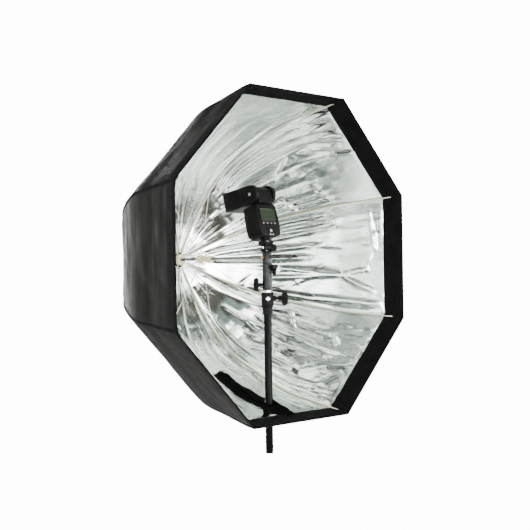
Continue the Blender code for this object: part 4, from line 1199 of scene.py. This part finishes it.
def make_holder(low):
    """The umbrella holder, whose block stands at a height on the adaptor, and its fork."""
    block_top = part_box("holder_block")[1].z
    outline = (
        (0, low - 0.0281), (0.0075, low - 0.0281), (0.0078, low - 0.0276), (0.0078, low),
        (BRACKET_RADIUS - 0.0005, low), (BRACKET_RADIUS, low + 0.0006),
        (BRACKET_RADIUS, block_top - 0.0042), (BRACKET_RADIUS - 0.0005, block_top - 0.0038),
        (BRACKET_RADIUS - 0.0005, block_top - 0.0032), (BRACKET_RADIUS, block_top - 0.0028),
        (BRACKET_RADIUS, block_top - 0.0007), (BRACKET_RADIUS - 0.0007, block_top), (0, block_top),
    )
    bore = peg(along_shaft(0), 0.0045, -0.0200, 0.0200)
    rim = peg(along_shaft(0), 0.0054, -0.0200, -0.0116)
    screw_hole = peg(side_frame(180, SHAFT_Z), 0.0022, 0.0020, 0.0160)
    holder = combined([turned(outline, 72), bore, rim, screw_hole], "DIFFERENCE")
    solid_piece("holder_turned", holder, "gunmetal", "holder", ("holder_block",))
    across = Matrix.Translation((0, 0, TILT_AXIS_Z)) @ Matrix.Rotation(math.pi / 2, 4, "Y")
    base = capped(
        (0.0110, block_top + 0.0003), (0.0155, block_top + 0.0015), (0.0155, block_top + 0.0030),
        (0.0140, block_top + 0.0040),
    )
    ears = []
    foot = block_top + 0.0026
    for low_x, high_x in ((-0.0140, -0.0098), (0.0098, 0.0140)):
        ear = [(-0.0085, foot), *reversed(arc((0, TILT_AXIS_Z), 0.0072, 0, 180, 24)), (0.0085, foot)]
        ears.append(prism(ear, low_x, high_x, "X", 0.0005))
    bolt_hole = peg(across, 0.0024, -0.0200, 0.0200)
    fork = combined([combined([turned(base, 72), *ears]), bolt_hole], "DIFFERENCE")
    solid_piece("tilt_fork_cast", fork, "satin", "holder", ("tilt_fork",))
    tilt_head = capped((0.0080, 0.0152), (0.0094, 0.0164), (0.0095, 0.0270), (0.0082, 0.0285))
    tilt_parts = [
        turned(tilt_head, 96, False, 0.0006, (12, 0.0011, 0.0154, 0.0284)),
        threaded(0.0021, -0.0150, 0.0160),
    ]
    lock_knob("tilt_knob", tilt_parts, ("tilt_lock_knob",), across)
    nut = capped((0.0030, -0.0168), (0.0036, -0.0160), (0.0036, -0.0142))
    nut = turned(nut, 6, False, 0)
    solid_piece("tilt_bolt_nut", nut, "bright", "holder", (), across)


# Umbrella frame


def swept(points, radius, sides=12):
    """A round rod along 2D points, with closed round ends."""
    points = [Vector((*p, 0)) for p in points]
    bm = bmesh.new()
    rings = []
    for k, point in enumerate(points):
        before, after = points[max(k - 1, 0)], points[min(k + 1, len(points) - 1)]
        along = (after - before).normalized()
        normal = Vector((-along.y, along.x, 0))
        grow = 0.55 if k in (0, len(points) - 1) else 1.0
        ring = []
        for s in range(sides):
            turn = 2 * math.pi * (s + 0.5) / sides
            out = normal * math.cos(turn) + Vector((0, 0, 1)) * math.sin(turn)
            ring.append(bm.verts.new(point + out * radius * grow))
        rings.append(ring)
    for lower, upper in zip(rings, rings[1:]):
        for s in range(sides):
            after = (s + 1) % sides
            bm.faces.new((lower[s], lower[after], upper[after], upper[s]))
    bm.faces.new(rings[0])
    bm.faces.new(rings[-1])
    return finished(bm, 50)


def make_rib_tips():
    """Bright metal tips on the ribs' front ends."""
    curve = smooth_curve(RIB_OUTLINE, 5)
    rib_line = [Vector((reach - HINGE_REACH, depth - HUB_DEPTH)) for depth, reach in curve[-2:]]
    rib_line.append(rib_line[1] + (rib_line[1] - rib_line[0]).normalized() * 0.0008)
    hub_middle = np.array((0, OPENING_Y + HUB_DEPTH, SHAFT_Z))
    for index in range(1, RIB_COUNT + 1):
        hinge = rib_direction(index) * HINGE_REACH + hub_middle
        placed = Matrix.Translation(Vector(hinge)) @ Matrix.Rotation(-rib_angle(index), 4, "Y")
        tip = swept(rib_line, 0.0017)
        solid_piece(f"rib_tip_{index}", tip, "bright", f"rib_{index}", (), placed)


def make_hub_ring():
    """The wire that holds the ribs' ends in the notched hub."""
    ring_radius, wire, z = 0.0128, 0.0006, -0.0094
    turns = [2 * math.pi * k / 8 for k in range(8)]
    section = [(ring_radius + wire * math.cos(a), z + wire * math.sin(a)) for a in turns]
    ring = turned(section, 64, True, 0, sharp=180)
    place = along_shaft(OPENING_Y + HUB_DEPTH)
    solid_piece("hub_wire_ring", ring, "bright", "umbrella", (), place)


# Flash


def flash_frame():
    return Matrix.Translation((0, 0, TILT_AXIS_Z)) @ Matrix.Rotation(math.radians(FLASH_LEAN), 4, "X")


def body_outline(shrink=0.0):
    half, top, bottom = 0.0370 - shrink, 0.1090 - shrink, 0.0225 + shrink
    right = [
        (0.0230, bottom), (half - 0.0030, bottom + 0.0060), (half, bottom + 0.0180),
        (half, top - 0.0300), (half - 0.0034, top - 0.0040), (half - 0.0110, top),
    ]
    left = [(-x, z) for x, z in reversed(right)]
    return rounded([left[-1], *right, *left[:-1]], 0.0060, True, 5)


def upright_slab(half, low, high, radius, steps, start, end, bevel=0.0):
    """A rounded rectangle in X and Z with a thickness in Y."""
    corners = ((-half, low), (half, low), (half, high), (-half, high))
    return prism(rounded(corners, radius, True, steps), start, end, "Y", bevel)


def make_flash():
    place, rear = flash_frame(), FLASH_REAR
    shell = prism(body_outline(), rear, 0.0250, "Y", 0.0036, 4)
    # The parting line round the body
    groove = prism(body_outline(-0.0010), 0.0046, 0.0053, "Y")
    keep = prism(body_outline(0.0006), 0.0040, 0.0060, "Y")
    cuts = [
        combined([groove, keep], "DIFFERENCE"),
        block((-0.0273, rear - 0.0020, 0.0602), (0.0273, rear + 0.0022, 0.0948), 0.0004, 1),
        block((0.0352, -0.0195, 0.0440), (0.0400, 0.0195, 0.0960), 0, 1),
        turned(rod(0.0100, 0.0200, 0.0300)),
        peg(facing_back(0, rear, 0.0375), 0.0110, -0.0030, 0.0042),
    ]
    for x in BUTTON_PLACES:
        low, high = (x - 0.0046, rear - 0.0036, 0.0509), (x + 0.0046, rear + 0.0036, 0.0561)
        cuts.append(block(low, high, 0.0005, 2))
    body = combined([shell, *cuts], "DIFFERENCE")
    solid_piece("flash_body_shell", body, "flash", "flash", ("flash_body",), place)
    inner = upright_slab(0.0268, 0.0607, 0.0943, 0.0012, 3, rear - 0.004, rear + 0.002)
    outer = upright_slab(0.0310, 0.0579, 0.0977, 0.0040, 5, rear - 0.0011, rear + 0.0004, 0.0006)
    bezel = combined([outer, inner], "DIFFERENCE")
    solid_piece("screen_bezel", bezel, "gloss", "flash", (), place)
    make_key_marks(place, rear)
    for side, x in (("left", -0.0046), ("right", 0.0046)):
        contact = block((x - 0.0016, rear - 0.0012, 0.0262), (x + 0.0016, rear + 0.0010, 0.0330))
        name = f"foot_release_{side}"
        solid_piece(name, contact, "bright", "flash", (), place)
    make_head(place)


def make_key_marks(place, rear):
    """Small plain marks over the keys: a bar, a dot, a ring and a pair of bars."""
    z = 0.0571

    def bar(x, start, end, half):
        return block((x + start, rear - 0.0002, z - half), (x + end, rear + 0.0003, z + half), 0)

    first, second, third, fourth = BUTTON_PLACES
    ring = turned(tube(0.0014, 0.0008, -0.0003, 0.0002, 0.0001), 24, True)
    pair = [bar(fourth, -0.0016, -0.0006, 0.0009), bar(fourth, 0.0006, 0.0016, 0.0009)]
    marks = (
        bar(first, -0.0022, 0.0022, 0.0005),
        moved(turned(rod(0.0010, -0.0003, 0.0002, 0.0001), 24), facing_back(second, rear, z)),
        moved(ring, facing_back(third, rear, z)),
        combined(pair),
    )
    for index, mark in enumerate(marks, 1):
        solid_piece(f"key_mark_{index}", mark, "mark", "flash", (), place)


def facing_back(x, y, z):
    """A frame at a place on the flash whose local Z points backwards."""
    return Matrix.Translation((x, y, z)) @ Matrix.Rotation(-math.pi / 2, 4, "X")


def make_head(place):
    """The turret and the tilting head, with its grip ribs and the recess for the lamp's window."""
    axis = (-0.0100, 0.1355)
    radius = 0.0185
    low = 0.1097
    arch = arc(axis, radius, -52, 180, 32)
    turret_outline = [(axis[0] - radius, low), (axis[0] + 0.0076, low), *arch]
    turret = combined(
        [
            prism(turret_outline, -0.0245, 0.0245, "X", 0.0008),
            peg(Matrix.Translation((0, axis[0], 0.1093)), 0.0145, 0, 0.0012, 0.0002),
        ]
    )
    solid_piece("turret_shell", turret, "flash", "turret", ("head_turret",), place)
    cheek, front = 0.0240, 0.0870
    outline = [
        *arc(axis, cheek, 270, 90, 36),
        (front - 0.0300, axis[1] + cheek + 0.0052), (front, axis[1] + cheek + 0.0090),
        (front, axis[1] - cheek + 0.0055), (front - 0.0300, axis[1] - cheek + 0.0022),
    ]
    shell = prism(outline, -0.0365, 0.0365, "X", 0.0034, 4)
    across = Matrix.Translation((0, *axis)) @ Matrix.Rotation(math.pi / 2, 4, "Y")
    cuts = [
        peg(across, cheek + 0.0020, -0.0250, 0.0250, 0.0001),
        block((-0.0320, front - 0.0060, 0.1222), (0.0320, 0.1000, 0.1552), 0.0008),
        block((-0.0264, front - 0.0420, 0.1577), (0.0264, 0.1000, 0.1593), 0, 1),
    ]
    key_side = Matrix.Translation((-0.0365, *axis)) @ Matrix.Rotation(math.pi / 2, 4, "Y")
    cuts.append(peg(key_side, 0.0046, -0.0030, 0.0040))
    for k in range(9):
        y = 0.0280 + 0.0040 * k
        for x in (-0.0368, 0.0368):
            low, high = (x - 0.0007, y, 0.1225), (x + 0.0007, y + 0.0014, 0.1560)
            cuts.append(block(low, high, 0.0002, 1))
    line = [
        block((-0.0400, 0.0180, 0.1000), (0.0400, 0.0187, 0.1700), 0, 1),
        block((-0.0360, 0.0170, 0.1128), (0.0360, 0.0195, 0.1604), 0.0030),
    ]
    cuts.append(combined(line, "DIFFERENCE"))
    head = combined([shell, *cuts], "DIFFERENCE")
    solid_piece("flash_head_shell", head, "flash", "head", ("flash_head",), place)


# The CAD nodes that stay, under the material that each is given
CAD_LOOKS = {
    "satin": ["stand_end_plug", "shoe", "shaft_end_cap", "crown_ferrule", "runner_latch"],
    "bright": ["collar_insert", "riser_spigot", "flash_foot"],
    "brass": ["umbrella_lock_screw"],
    "ring": ["foot_lock_ring"],
    "screen": ["screen_window"],
    "knob": ["select_dial"],
    "grey": ["set_button", "tilt_release_button"],
    "flash": ["battery_door"],
    "lens": ["head_lens"],
    "card": ["bounce_card"],
    "steel": ["shaft"],
    "cream": ["crown_hub", "runner"],
    "key": [f"button_{k}" for k in range(1, 5)],
    "ivory": [f"{kind}_{k}" for kind in ("rib", "strut") for k in range(1, RIB_COUNT + 1)],
}


def dress_frame():
    for look, nodes in CAD_LOOKS.items():
        for node in nodes:
            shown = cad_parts[node]
            if not shown.material_slots:
                shown.data.materials.append(MATERIALS[look])
            for held in shown.material_slots:
                held.material = MATERIALS[look]


make_camera()
make_world()
make_lights()
make_floor()
dress_frame()
make_cloth()
make_stand()
make_bracket()
make_rib_tips()
make_hub_ring()
make_flash()
